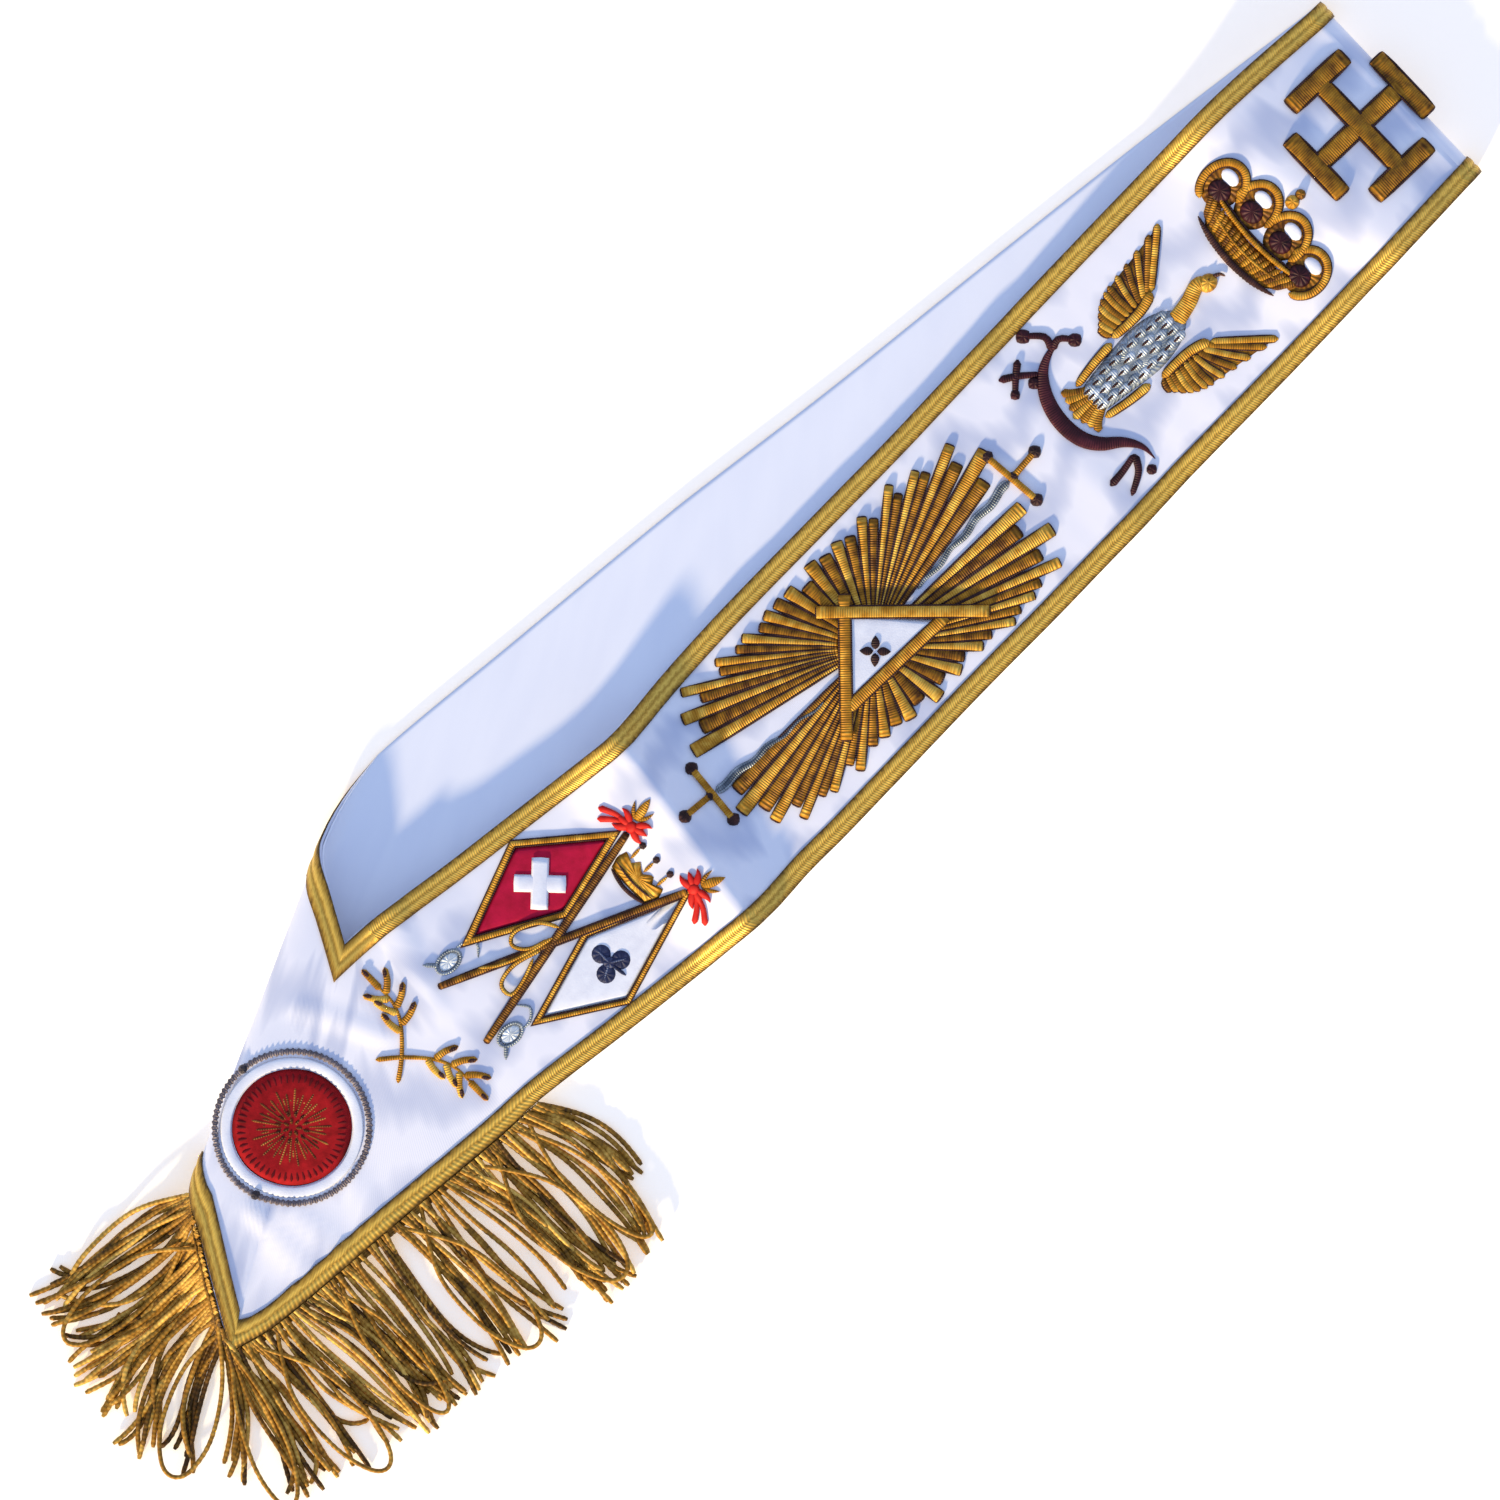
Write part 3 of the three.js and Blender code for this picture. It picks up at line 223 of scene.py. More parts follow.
def row_shift() -> Vector:
    """From the band's own frame to the row frame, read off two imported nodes, in millimetres."""
    low, high = (Vector(corner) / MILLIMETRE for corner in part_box("rosette_disc"))
    middle = (low + high) / 2
    right = Vector(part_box("braid_inner_shoulder")[1]) / MILLIMETRE
    return Vector((right.x - BAND.reach, middle.y - ROSETTE_PLACE.y, 0.0))


ROSETTE_PLACE = plan(0.1176, 0.463)
SHIFT = row_shift()


def to_row(point: Vector) -> Vector:
    """A point of the band's frame in millimetres, as metres in the row frame."""
    return (point + SHIFT) * MILLIMETRE


@dataclass(frozen=True)
class Fold:
    """A soft fold in the silk: a line across the band, steeper on one side, in millimetres."""

    x: float
    y: float
    lean: float
    rise: float
    fall: float
    high: float
    half_length: float = 400.0

    def height(self, point: Vector) -> float:
        """How far it lifts the silk at a point."""
        off = point.x - self.x - self.lean * (point.y - self.y)
        share = clamp(1 + off / self.rise) if off < 0 else clamp(1 - off / self.fall)
        ends = clamp(1 - abs(point.y - self.y) / self.half_length)
        return self.high * smooth(share) * smooth(ends * 3)


FOLDS = (
    Fold(311.0, 30.0, 0.17, 34.0, 26.0, 2.9),
    Fold(315.0, 18.0, 0.13, 8.0, 5.0, 1.6, 66.0),
    Fold(722.0, 40.0, -0.3, 26.0, 70.0, 4.0),
    Fold(52.0, 18.0, 0.05, 7.0, 8.0, 1.7, 26.0),
    Fold(66.0, 10.0, -0.1, 6.0, 8.0, 1.5, 22.0),
    Fold(92.0, 4.0, 0.2, 7.0, 8.0, 1.0, 20.0),
    Fold(186.0, 74.0, 0.35, 12.0, 12.0, 1.3, 40.0),
    Fold(142.0, 70.0, -0.5, 8.0, 10.0, 1.0, 26.0),
)


@dataclass
class Station:
    """One line across the band, from its outer to its inner edge."""

    outer: Vector
    inner: Vector
    crown: float = 0.0
    crease: float = 0.0


class Loop:
    """The closed band: stations round it, and columns across it."""

    UPPER_STEPS = 260
    TURN_STEPS = 24
    PANEL_STEPS = 20
    ROLL_STEPS = 14
    LOWER_STEPS = 110
    COLUMNS = 52

    def __init__(self) -> None:
        self.stations: list[Station] = []
        self._upper()
        self._hip()
        self._lower()
        self._shoulder()
        self.count = len(self.stations)
        self.shares = [j / self.COLUMNS for j in range(self.COLUMNS + 1)]
        columns = range(len(self.shares))
        self.grid = [[self._sheet(i, j) for j in columns] for i in range(self.count)]
        self.normals = [[self._normal(i, j) for j in columns] for i in range(self.count)]
        self.lengths = self._lengths()

    def _add(self, outer: Vector, inner: Vector, crown: float = 0.0, crease: float = 0.0) -> None:
        self.stations.append(Station(outer, inner, crown, crease))

    @staticmethod
    def _edge(edge: str, along: float) -> Vector:
        lift = read(UPPER_RUN, f"lift_{edge}", along)
        return plan(along, read(UPPER_RUN, edge, along), lift_level(lift, along))

    def _upper(self) -> None:
        start = BAND.shoulder_axis / BAND.reach
        for i in range(self.UPPER_STEPS):
            share = i / (self.UPPER_STEPS - 1)
            along = lerp(start, UPPER_END, share)
            ease = smooth(share * 25)
            outer, inner = self._edge("lower", along), self._edge("upper", along)
            for point in (outer, inner):
                point.z = lerp(BAND.shoulder_level, point.z, ease)
            self._add(outer, inner, read(UPPER_RUN, "crown", along) * ease, 1.0)

    def _hip(self) -> None:
        for i in range(1, self.TURN_STEPS + 1):
            share = i / self.TURN_STEPS
            outer = self._edge("lower", lerp(UPPER_END, HIP_POINT[0], share))
            inner = self._edge("upper", lerp(UPPER_END, HIP_CORNER[0], share))
            self._add(outer, inner, 0.3 * (1 - share), 1.0)
        seam = self.stations[-1]
        top_outer, top_inner = self._roll_point("outer", 0.0), self._roll_point("inner", 0.0)
        for i in range(1, self.PANEL_STEPS):
            share = i / self.PANEL_STEPS
            rise = math.sin(share * math.pi / 2)
            line = []
            for a, b in ((seam.outer, top_outer), (seam.inner, top_inner)):
                point = a.lerp(b, share)
                point.z = lerp(a.z, b.z, rise)
                line.append(point)
            self._add(line[0], line[1], 0.0, 1.0)
        self.fold_start = len(self.stations)
        for i in range(self.ROLL_STEPS + 1):
            turn = i / self.ROLL_STEPS
            self._add(self._roll_point("outer", turn), self._roll_point("inner", turn), 0.0, 1 - turn)

    @staticmethod
    def _roll_point(edge: str, turn: float) -> Vector:
        fold_outer, fold_inner = plan(*FOLD_OUTER), plan(*FOLD_INNER)
        axis = (fold_inner - fold_outer).normalized()
        inward = Vector((axis.y, -axis.x, 0))
        fold = fold_outer if edge == "outer" else fold_inner
        below = BAND.drift_below_outer if edge == "outer" else BAND.drift_below_inner
        drift = -BAND.drift_above * (1 - 2 * turn) if turn < 0.5 else below * (2 * turn - 1)
        reach = BAND.hip_roll + BAND.braid_face
        point = fold + axis * drift + inward * (reach - BAND.hip_roll * math.sin(math.pi * turn))
        point.z = BAND.braid_face + BAND.hip_roll * (1 + math.cos(math.pi * turn))
        return point

    def _lower(self) -> None:
        under = self.stations[-1]
        start = BAND.shoulder_axis / BAND.reach

        def at(edge: str, first: Vector, share: float) -> Vector:
            along = lerp(first.x / BAND.reach, start, share)
            side = read(LOWER_RUN, edge, along)
            settle = first.y / BAND.width - read(LOWER_RUN, edge, first.x / BAND.reach)
            return plan(along, side + settle * max(0.0, 1 - 3 * share), BAND.braid_face)

        for i in range(1, self.LOWER_STEPS + 1):
            share = i / self.LOWER_STEPS
            self._add(at("lower", under.outer, share), at("upper", under.inner, share))

    def _shoulder(self) -> None:
        low, high = self.stations[-1], self.stations[0]
        for i in range(1, self.ROLL_STEPS):
            turn = math.pi * (1 - i / self.ROLL_STEPS)
            line = []
            for a, b in ((low.outer, high.outer), (low.inner, high.inner)):
                point = a.lerp(b, i / self.ROLL_STEPS)
                point.x = BAND.shoulder_axis + BAND.shoulder_roll * math.sin(turn)
                point.z = BAND.braid_face + BAND.shoulder_roll * (1 + math.cos(turn))
                line.append(point)
            self._add(line[0], line[1])

    def _sheet(self, i: int, j: int) -> Vector:
        station = self.stations[i]
        share = self.shares[j]
        point = station.outer.lerp(station.inner, share)
        point.z += BAND.crowning * station.crown * (1 - (2 * share - 1) ** 2)
        point.z += station.crease * self._crease(point)
        return point

    @staticmethod
    def _crease(point: Vector) -> float:
        """The folds, and the low unevenness of silk that was rolled up and laid out again."""
        broad = noise.noise(Vector((point.x / 34, point.y / 90, 3.1)))
        fine = noise.noise(Vector((point.x / 11, point.y / 38 + point.x / 60, 8.2)))
        return 0.75 + 0.6 * broad + 0.2 * fine + sum(fold.height(point) for fold in FOLDS)

    def _normal(self, i: int, j: int) -> Vector:
        last = len(self.shares) - 1
        along = self.grid[(i + 1) % self.count][j] - self.grid[i - 1][j]
        across = self.grid[i][min(j + 1, last)] - self.grid[i][max(j - 1, 0)]
        return across.cross(along).normalized()

    def _lengths(self) -> list[float]:
        middle = len(self.shares) // 2
        total, sums = 0.0, [0.0]
        for i in range(self.count):
            total += (self.grid[(i + 1) % self.count][middle] - self.grid[i][middle]).length
            sums.append(total)
        return sums

    def point(self, i: int, share: float, height: float) -> Vector:
        """A point at a station and a share across the band, standing off the sheet by height."""
        i %= self.count
        place = clamp(share) * self.COLUMNS
        j = min(int(place), self.COLUMNS - 1)
        part = place - j
        row, normals = self.grid[i], self.normals[i]
        spot = row[j].lerp(row[j + 1], part)
        normal = normals[j].lerp(normals[j + 1], part).normalized()
        return spot + normal * height

    def width(self, i: int) -> float:
        """The band's width along a station's line."""
        station = self.stations[i % self.count]
        return (station.inner - station.outer).length

    def slant(self, i: int, edge: str) -> float:
        """How much wider a strip is along the station's slanting line than across its edge."""
        least = 0.42
        here = self.stations[i % self.count]
        across = (here.inner - here.outer).normalized()
        total = 0.0
        for k in (-1, 1):
            near = self.stations[(i + k) % self.count]
            way = getattr(near, edge) - getattr(here, edge)
            total += 1 / max(least, way.normalized().cross(across).length)
        return total / 2


loop = Loop()


def skin_tree() -> BVHTree:
    """The front of the ribbon, for finding its height under a stitch."""
    width = loop.COLUMNS + 1
    rows = range(loop.count + 1)
    corners = [loop.point(i, j / loop.COLUMNS, BAND.ribbon_face) for i in rows for j in range(width)]
    faces = []
    for i in range(loop.count):
        for j in range(width - 1):
            a = i * width + j
            faces.append((a, a + 1, a + 1 + width, a + width))
    return BVHTree.FromPolygons(corners, faces)


SKIN = skin_tree()


def surface(x: float, y: float) -> float:
    """The height of the ribbon's face over the table at a place, in millimetres."""
    hit = SKIN.ray_cast(Vector((x, y, 200.0)), Vector((0, 0, -1)))
    if hit[0] is not None:
        return hit[0].z
    near = SKIN.find_nearest(Vector((x, y, BAND.hip_level)))
    return near[0].z


class Slot(Enum):
    """Material slots of the record."""

    RIBBON = "ribbon"
    LINING = "lining"
    BRAID = "braid"
    FRINGE = "fringe"
    GOLD = "gold_thread"
    SILVER = "silver_thread"
    DARK = "dark_thread"
    RED = "red_cloth"
    BADGE = "badge_red"
    WHITE = "white_cloth"
    NAVY = "navy_thread"


class Nodes:
    """A material's node tree, with short helpers."""

    def __init__(self, name: str) -> None:
        self.material = bpy.data.materials.new(name)
        self.material.use_nodes = True
        self.tree = self.material.node_tree
        self.tree.nodes.clear()
        self.output = self.add("ShaderNodeOutputMaterial")
        self.shader = self.add("ShaderNodeBsdfPrincipled")
        self.link(self.shader.outputs["BSDF"], self.output.inputs["Surface"])

    def add(self, kind: str, **settings: object) -> bpy.types.Node:
        node = self.tree.nodes.new(kind)
        for key, value in settings.items():
            setattr(node, key, value)
        return node

    def link(self, a: bpy.types.NodeSocket, b: bpy.types.NodeSocket) -> None:
        self.tree.links.new(a, b)

    def set(self, **values: object) -> None:
        """Sets the shader's own sockets, named with underscores for spaces."""
        for key, value in values.items():
            self.shader.inputs[key.replace("_", " ")].default_value = value

    def colour(self, factor: bpy.types.NodeSocket, stops: Sequence[tuple]) -> None:
        """Gives the shader its colour from a factor, by stops of a place and a colour."""
        node = self.add("ShaderNodeValToRGB")
        elements = node.color_ramp.elements
        while len(elements) < len(stops):
            elements.new(0.5)
        for element, (place, colour) in zip(elements, stops):
            element.position = place
            element.color = (*colour, 1.0)
        self.link(factor, node.inputs["Fac"])
        self.link(node.outputs["Color"], self.shader.inputs["Base Color"])

    def math(self, operation: str, a: object, b: object = 0.0) -> bpy.types.NodeSocket:
        node = self.add("ShaderNodeMath", operation=operation)
        for socket, value in zip(node.inputs, (a, b)):
            if isinstance(value, bpy.types.NodeSocket):
                self.link(value, socket)
            else:
                socket.default_value = value
        return node.outputs["Value"]

    def uv(self, scale: tuple[float, float]) -> bpy.types.NodeSocket:
        coordinates = self.add("ShaderNodeUVMap", uv_map="UVMap")
        mapping = self.add("ShaderNodeMapping")
        mapping.inputs["Scale"].default_value = (*scale, 1.0)
        self.link(coordinates.outputs["UV"], mapping.inputs["Vector"])
        return mapping.outputs["Vector"]

    def texture(self, node: bpy.types.Node, vector: bpy.types.NodeSocket,
                **values: float) -> bpy.types.NodeSocket:
        """Sets a texture node's sockets, and gives its factor at a vector."""
        for key, value in values.items():
            node.inputs[key].default_value = value
        self.link(vector, node.inputs["Vector"])
        return node.outputs["Fac"]

    def wave(self, vector: bpy.types.NodeSocket, scale: float, distortion: float, detail: float = 1.0,
             direction: str = "X") -> bpy.types.NodeSocket:
        node = self.add("ShaderNodeTexWave", bands_direction=direction)
        return self.texture(node, vector, Scale=scale, Distortion=distortion, Detail=detail)

    def noise(self, vector: bpy.types.NodeSocket, scale: float, detail: float) -> bpy.types.NodeSocket:
        return self.texture(self.add("ShaderNodeTexNoise"), vector, Scale=scale, Detail=detail)

    def bump(self, height: bpy.types.NodeSocket, strength: float, distance: float) -> None:
        node = self.add("ShaderNodeBump")
        node.inputs["Strength"].default_value = strength
        node.inputs["Distance"].default_value = distance
        self.link(height, node.inputs["Height"])
        self.link(node.outputs["Normal"], self.shader.inputs["Normal"])

    def attribute(self, name: str) -> bpy.types.NodeSocket:
        return self.add("ShaderNodeAttribute", attribute_name=name).outputs["Fac"]


Colour = tuple[float, float, float]


@dataclass(frozen=True)
class Silk:
    """Watered silk or plain satin; UV in metres along and across the band."""

    name: str
    dark: Colour
    light: Colour
    watered: float
    roughness: float
    weave: float = 0.12

    def make(self) -> bpy.types.Material:
        nodes = Nodes(self.name)
        flow = nodes.uv((60.0, 16.0))
        water = nodes.wave(flow, 0.5, 7.0, 3.0, "Y")
        cloud = nodes.noise(flow, 0.6, 3.0)
        water, cloud = nodes.math("MULTIPLY", water, self.watered), nodes.math("MULTIPLY", cloud, 0.5)
        nodes.colour(nodes.math("ADD", water, cloud), ((0.15, self.dark), (0.75, self.light)))
        ribs = nodes.wave(nodes.uv((1000.0, 1000.0)), 0.45, 0.4, 1.0, "X")
        nodes.bump(ribs, self.weave, 0.0002)
        nodes.set(Roughness=self.roughness, Sheen_Weight=0.15, Sheen_Roughness=0.5)
        return nodes.material


@dataclass(frozen=True)
class Woven:
    """Woven gold braid; UV in millimetres along and across it."""

    name: str
    edge: Colour
    middle: Colour
    crest_highlight: Colour
    width: float = BAND.braid_width

    def make(self) -> bpy.types.Material:
        nodes = Nodes(self.name)
        vector = nodes.uv((1.0, 1.0))
        split = nodes.add("ShaderNodeSeparateXYZ")
        nodes.link(vector, split.inputs["Vector"])
        share = nodes.math("DIVIDE", split.outputs["Y"], self.width)
        spread = nodes.noise(vector, 0.5, 3.0)
        tint = nodes.math("ADD", share, nodes.math("MULTIPLY", nodes.math("SUBTRACT", spread, 0.5), 0.35))
        # Painted light: the colour is lightest on the crests of the two ribs, darker in the groove between
        # them and darkest at the edges, following the braid's relief.
        stops = (
            (0.02, self.edge),
            (0.16, self.middle),
            (0.34, self.crest_highlight),
            (0.48, self.middle),
            (0.64, self.crest_highlight),
            (0.84, self.middle),
            (0.98, self.edge),
        )
        nodes.colour(tint, stops)
        chevron = nodes.math("ABSOLUTE", nodes.math("SUBTRACT", nodes.math("MULTIPLY", share, 4.0), 2.0))
        phase = nodes.math("ADD", split.outputs["X"], chevron)
        thread = nodes.math("SINE", nodes.math("MULTIPLY", phase, 5.2))
        nodes.bump(thread, 0.34, 0.0003)
        nodes.set(Roughness=0.42, Metallic=0.45)
        return nodes.material


@dataclass(frozen=True)
class Thread:
    """Stitched or twisted thread. The tone attribute goes from dark to light; UV in millimetres."""

    name: str
    dark: Colour
    middle: Colour
    light: Colour
    metallic: float
    roughness: float
    pitch: float = 1.1
    relief: float = 0.0003
    strength: float = 0.6

    def make(self) -> bpy.types.Material:
        nodes = Nodes(self.name)
        tone = nodes.attribute("tone")
        vector = nodes.uv((1.0, 1.0))
        split = nodes.add("ShaderNodeSeparateXYZ")
        nodes.link(vector, split.inputs["Vector"])
        lines = nodes.math("SINE", nodes.math("MULTIPLY", split.outputs["X"], 2 * math.pi / self.pitch))
        place = nodes.add("ShaderNodeTexCoord").outputs["Object"]
        patches = nodes.noise(place, 190.0, 3.0)
        shade = nodes.math("ADD", tone, nodes.math("MULTIPLY", nodes.math("SUBTRACT", patches, 0.5), 1.1))
        # Painted highlight: the colour is a little lighter on the crests of the thread's ridges, where the
        # bump rises.
        shade = nodes.math("ADD", shade, nodes.math("MULTIPLY", lines, 0.07))
        stops = ((0.0, self.dark), (0.5, self.middle), (1.0, self.light))
        nodes.colour(shade, stops)
        nodes.bump(lines, self.strength, self.relief)
        nodes.set(Roughness=self.roughness, Metallic=self.metallic, Specular_IOR_Level=0.2)
        return nodes.material


@dataclass(frozen=True)
class Cloth:
    """Plain applique cloth or velvet."""

    name: str
    dark: Colour
    light: Colour
    roughness: float
    sheen: float = 0.2

    def make(self) -> bpy.types.Material:
        nodes = Nodes(self.name)
        place = nodes.add("ShaderNodeTexCoord").outputs["Object"]
        patches = nodes.noise(place, 220.0, 4.0)
        nodes.colour(patches, ((0.3, self.dark), (0.7, self.light)))
        weave = nodes.noise(place, 1500.0, 2.0)
        nodes.bump(weave, 0.25, 0.0003)
        nodes.set(Roughness=self.roughness, Sheen_Weight=self.sheen, Specular_IOR_Level=0.2)
        return nodes.material


class Finish(Enum):
    """Every finish, with the slot that it belongs to."""

    RIBBON = Silk("watered silk", (0.55, 0.58, 0.74), (0.89, 0.87, 0.94), 0.66, 0.5), Slot.RIBBON
    LINING = Silk("white satin", (0.84, 0.85, 0.95), (0.93, 0.93, 1.0), 0.15, 0.5, 0.06), Slot.LINING
    BRAID = Woven("gold braid", (0.13, 0.065, 0.006), (0.5, 0.26, 0.025), (0.88, 0.55, 0.09)), Slot.BRAID
    FRINGE = Thread("fringe cord", (0.07, 0.03, 0.004), (0.38, 0.175, 0.018), (0.84, 0.5, 0.1), 0.12, 0.52,
                    2.4, 0.0002, 0.3), Slot.FRINGE
    GOLD = Thread("gold thread", (0.1, 0.033, 0.004), (0.5, 0.215, 0.013), (0.93, 0.58, 0.1),
                  0.2, 0.5), Slot.GOLD
    RUST = Thread("rust thread", (0.07, 0.015, 0.004), (0.3, 0.085, 0.015), (0.55, 0.25, 0.05),
                  0.1, 0.5), Slot.GOLD
    SILVER = Thread("silver thread", (0.08, 0.1, 0.13), (0.4, 0.45, 0.5), (0.82, 0.86, 0.9),
                    0.25, 0.4), Slot.SILVER
    DARK = Thread("dark thread", (0.018, 0.008, 0.008), (0.06, 0.022, 0.02), (0.2, 0.09, 0.05),
                  0.1, 0.55), Slot.DARK
    MAROON = Thread("maroon thread", (0.02, 0.004, 0.006), (0.07, 0.012, 0.02), (0.24, 0.05, 0.06),
                    0.1, 0.5), Slot.DARK
    RED = Cloth("red satin", (0.4, 0.001, 0.028), (0.54, 0.003, 0.044), 0.7, 0.0), Slot.RED
    BOW = Cloth("red ribbon", (0.5, 0.006, 0.004), (0.66, 0.02, 0.012), 0.6, 0.0), Slot.RED
    BADGE = Cloth("red velvet", (0.24, 0.002, 0.004), (0.44, 0.006, 0.01), 0.85, 0.0), Slot.BADGE
    # Painted shade: a darker copy of the red velvet, laid as strips where the disc's pleats fold.
    PLEAT = Cloth("red velvet painted pleat shade", (0.09, 0.002, 0.004), (0.17, 0.004, 0.008), 0.85, 0.0), Slot.BADGE
    WHITE = Cloth("white satin applique", (0.78, 0.78, 0.86), (0.88, 0.88, 0.94), 0.5), Slot.WHITE
    CORD = Thread("grey cord", (0.05, 0.04, 0.045), (0.2, 0.16, 0.17), (0.5, 0.44, 0.46), 0.1, 0.5), Slot.DARK
    NAVY = Thread("navy thread", (0.01, 0.012, 0.035), (0.03, 0.035, 0.09), (0.12, 0.15, 0.26),
                  0.1, 0.5), Slot.NAVY

    def __init__(self, look: "Silk | Woven | Thread | Cloth", slot: Slot) -> None:
        self.look = look
        self.slot = slot

    @property
    def material(self) -> bpy.types.Material:
        """The finish's material, made once."""
        return bpy.data.materials.get(self.look.name) or self.look.make()


def make_piece(name: str, bm: bmesh.types.BMesh, finish: Finish,
               nodes: Iterable[str] = ()) -> bpy.types.Object:
    """Closes a bmesh into a piece at the origin, in metres in the row frame, and ties it to the frame.

    Args:
        name: the piece's name.
        bm: its shape in the band's frame, in millimetres.
        finish: its material and slot.
        nodes: the CAD nodes that it stands for.

    Returns:
        The piece.
    """
    for vertex in bm.verts:
        vertex.co = to_row(vertex.co)
    bmesh.ops.recalc_face_normals(bm, faces=bm.faces)
    for face in bm.faces:
        face.smooth = True
    name = name.replace(" ", "_")
    mesh = bpy.data.meshes.new(name)
    bm.to_mesh(mesh)
    bm.free()
    mesh.materials.append(finish.material)
    piece = bpy.data.objects.new(name, mesh)
    bpy.context.scene.collection.objects.link(piece)
    log.info("%s: %d faces", name, len(mesh.polygons))
    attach(piece, "root")
    names = list(nodes)
    if names:
        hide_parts(*names)
    return piece


LENGTHS = ("shoulder", "upper", "ridge", "hip", "lower")


@dataclass
class Strip:
    """A closed strip of cloth round the whole band, between two heights off its middle sheet.

    Its UV is in units of scale millimetres.
    """

    name: str
    low: float
    high: float
    finish: Finish
    node: str
    columns: int
    width: float
    scale: float

    def share_at(self, row: int, share: float) -> float:
        """The share of the band's width at a station, for a share across this strip."""
        return share

    def ridge(self, share: float) -> float:
        """The extra height at a share across this strip."""
        return 0.0

    def build(self) -> bpy.types.Object:
        """Bends two grids round the band and joins their edges."""
        bm = bmesh.new()
        uv = bm.loops.layers.uv.new("UVMap")
        places = {}
        for top in (True, False):
            made = bmesh.ops.create_grid(bm, x_segments=loop.count, y_segments=self.columns, size=0.5)
            side = {v: (round((v.co.x + 0.5) * loop.count), v.co.y + 0.5) for v in made["verts"]}
            for face in {f for v in side for f in v.link_faces}:
                for corner in face.loops:
                    row, share = side[corner.vert]
                    corner[uv].uv = (loop.lengths[row] * self.scale, share * self.width * self.scale)
            for v, (row, share) in side.items():
                height = self.high + self.ridge(share) if top else self.low
                v.co = loop.point(row, self.share_at(row, share), height)
            places.update(side)
        for edge in (0.0, 1.0):
            rims = [e for e in bm.edges if e.is_boundary and all(places[v][1] == edge for v in e.verts)]
            bmesh.ops.bridge_loops(bm, edges=rims)
        bmesh.ops.remove_doubles(bm, verts=bm.verts, dist=0.001)
        return make_piece(self.name, bm, self.finish, [f"{self.node}_{label}" for label in LENGTHS])


@dataclass
class Braid(Strip):
    """Gold braid along one edge of the band."""

    edge: str = "outer"

    RIDGE = 0.45

    def share_at(self, row: int, share: float) -> float:
        width = BAND.braid_width * loop.slant(row, self.edge) / loop.width(row)
        return width * share if self.edge == "outer" else 1 - width * (1 - share)

    def ridge(self, share: float) -> float:
        """Two plump ribs with a groove between them and a thin woven selvedge."""
        return self.RIDGE * abs(math.sin(2 * math.pi * clamp(share * 1.16 - 0.08))) ** 0.7 - self.RIDGE


class Band:
    """Ribbon, lining and both braids."""

    BRAID_COLUMNS = 12

    def build(self) -> None:
        whole = (loop.COLUMNS, BAND.width, MILLIMETRE)
        ribbon = Strip("Ribbon", BAND.gap / 2, BAND.ribbon_face, Finish.RIBBON, "ribbon", *whole).build()
        lining = Strip("Lining", BAND.lining_back, -BAND.gap / 2, Finish.LINING, "lining", *whole).build()
        narrow = (self.BRAID_COLUMNS, BAND.braid_width, 1.0)
        for edge in ("outer", "inner"):
            title, node = f"{edge.capitalize()} braid", f"braid_{edge}"
            Braid(title, BAND.braid_back, BAND.braid_face, Finish.BRAID, node, *narrow, edge).build()


Profile = Callable[[float], float]
Line = Sequence[Vector]

# Faces round a fine thread
FINE = 6


def even(_: float) -> float:
    """A bar as wide at its ends."""
    return 1.0


def rounded(share: float) -> float:
    """A bar with short rounded ends."""
    return min(1.0, max(0.02, 4.5 * min(share, 1 - share)) ** 0.5)


def leaf(share: float) -> float:
    """A pointed leaf, widest before its middle."""
    return max(0.02, math.sin(math.pi * clamp(share) ** 0.8) ** 0.85)


def crescent(share: float) -> float:
    """A crescent, widest in its middle."""
    return max(0.05, math.sin(math.pi * share) ** 0.8)


def square(share: float, end: float = 0.15) -> float:
    """A bar with square ends."""
    return 1.0 if 0.0 < share < 1.0 else end


def wedge(start: float, end: float) -> Profile:
    """A bar with square ends that goes evenly from one width to another."""
    return lambda share: lerp(start, end, share) * square(share)


def tapering(start: float, end: float) -> Profile:
    """A bar that goes evenly from one width to another, with short blunt ends."""
    return lambda share: lerp(start, end, share) * min(1.0, max(0.05, 30 * min(share, 1 - share)) ** 0.5)


def heading(angle: float) -> Vector:
    """A level way at an angle in radians."""
    return Vector((math.cos(angle), math.sin(angle), 0))


def leftward(way: Vector) -> Vector:
    """The level way to the left of another."""
    return Vector((-way.y, way.x, 0))


def spaced(points: Sequence[Sequence[float]]) -> list[Vector]:
    """Points of two or three coordinates as vectors."""
    return [Vector((p[0], p[1], p[2] if len(p) > 2 else 0.0)) for p in points]


def running(line: Line) -> list[float]:
    """The distance along a line to each of its points."""
    sums = [0.0]
    for a, b in zip(line, line[1:]):
        sums.append(sums[-1] + (b - a).length)
    return sums


def at_distance(line: Line, sums: Sequence[float], at: float) -> Vector:
    """The point of a line at a distance along it, from the distances to its points."""
    k = min(bisect_left(sums, at, 1), len(sums) - 1) - 1
    span = sums[k + 1] - sums[k] or 1.0
    return line[k].lerp(line[k + 1], (at - sums[k]) / span)


def resample(points: Sequence[Sequence[float]], step: float, closed: bool = False) -> list[Vector]:
    """Points at even distances along a line."""
    line = spaced(points)
    if closed:
        line.append(line[0].copy())
    sums = running(line)
    count = max(2, math.ceil(sums[-1] / step))
    return [at_distance(line, sums, sums[-1] * i / count) for i in range(count + 1)]


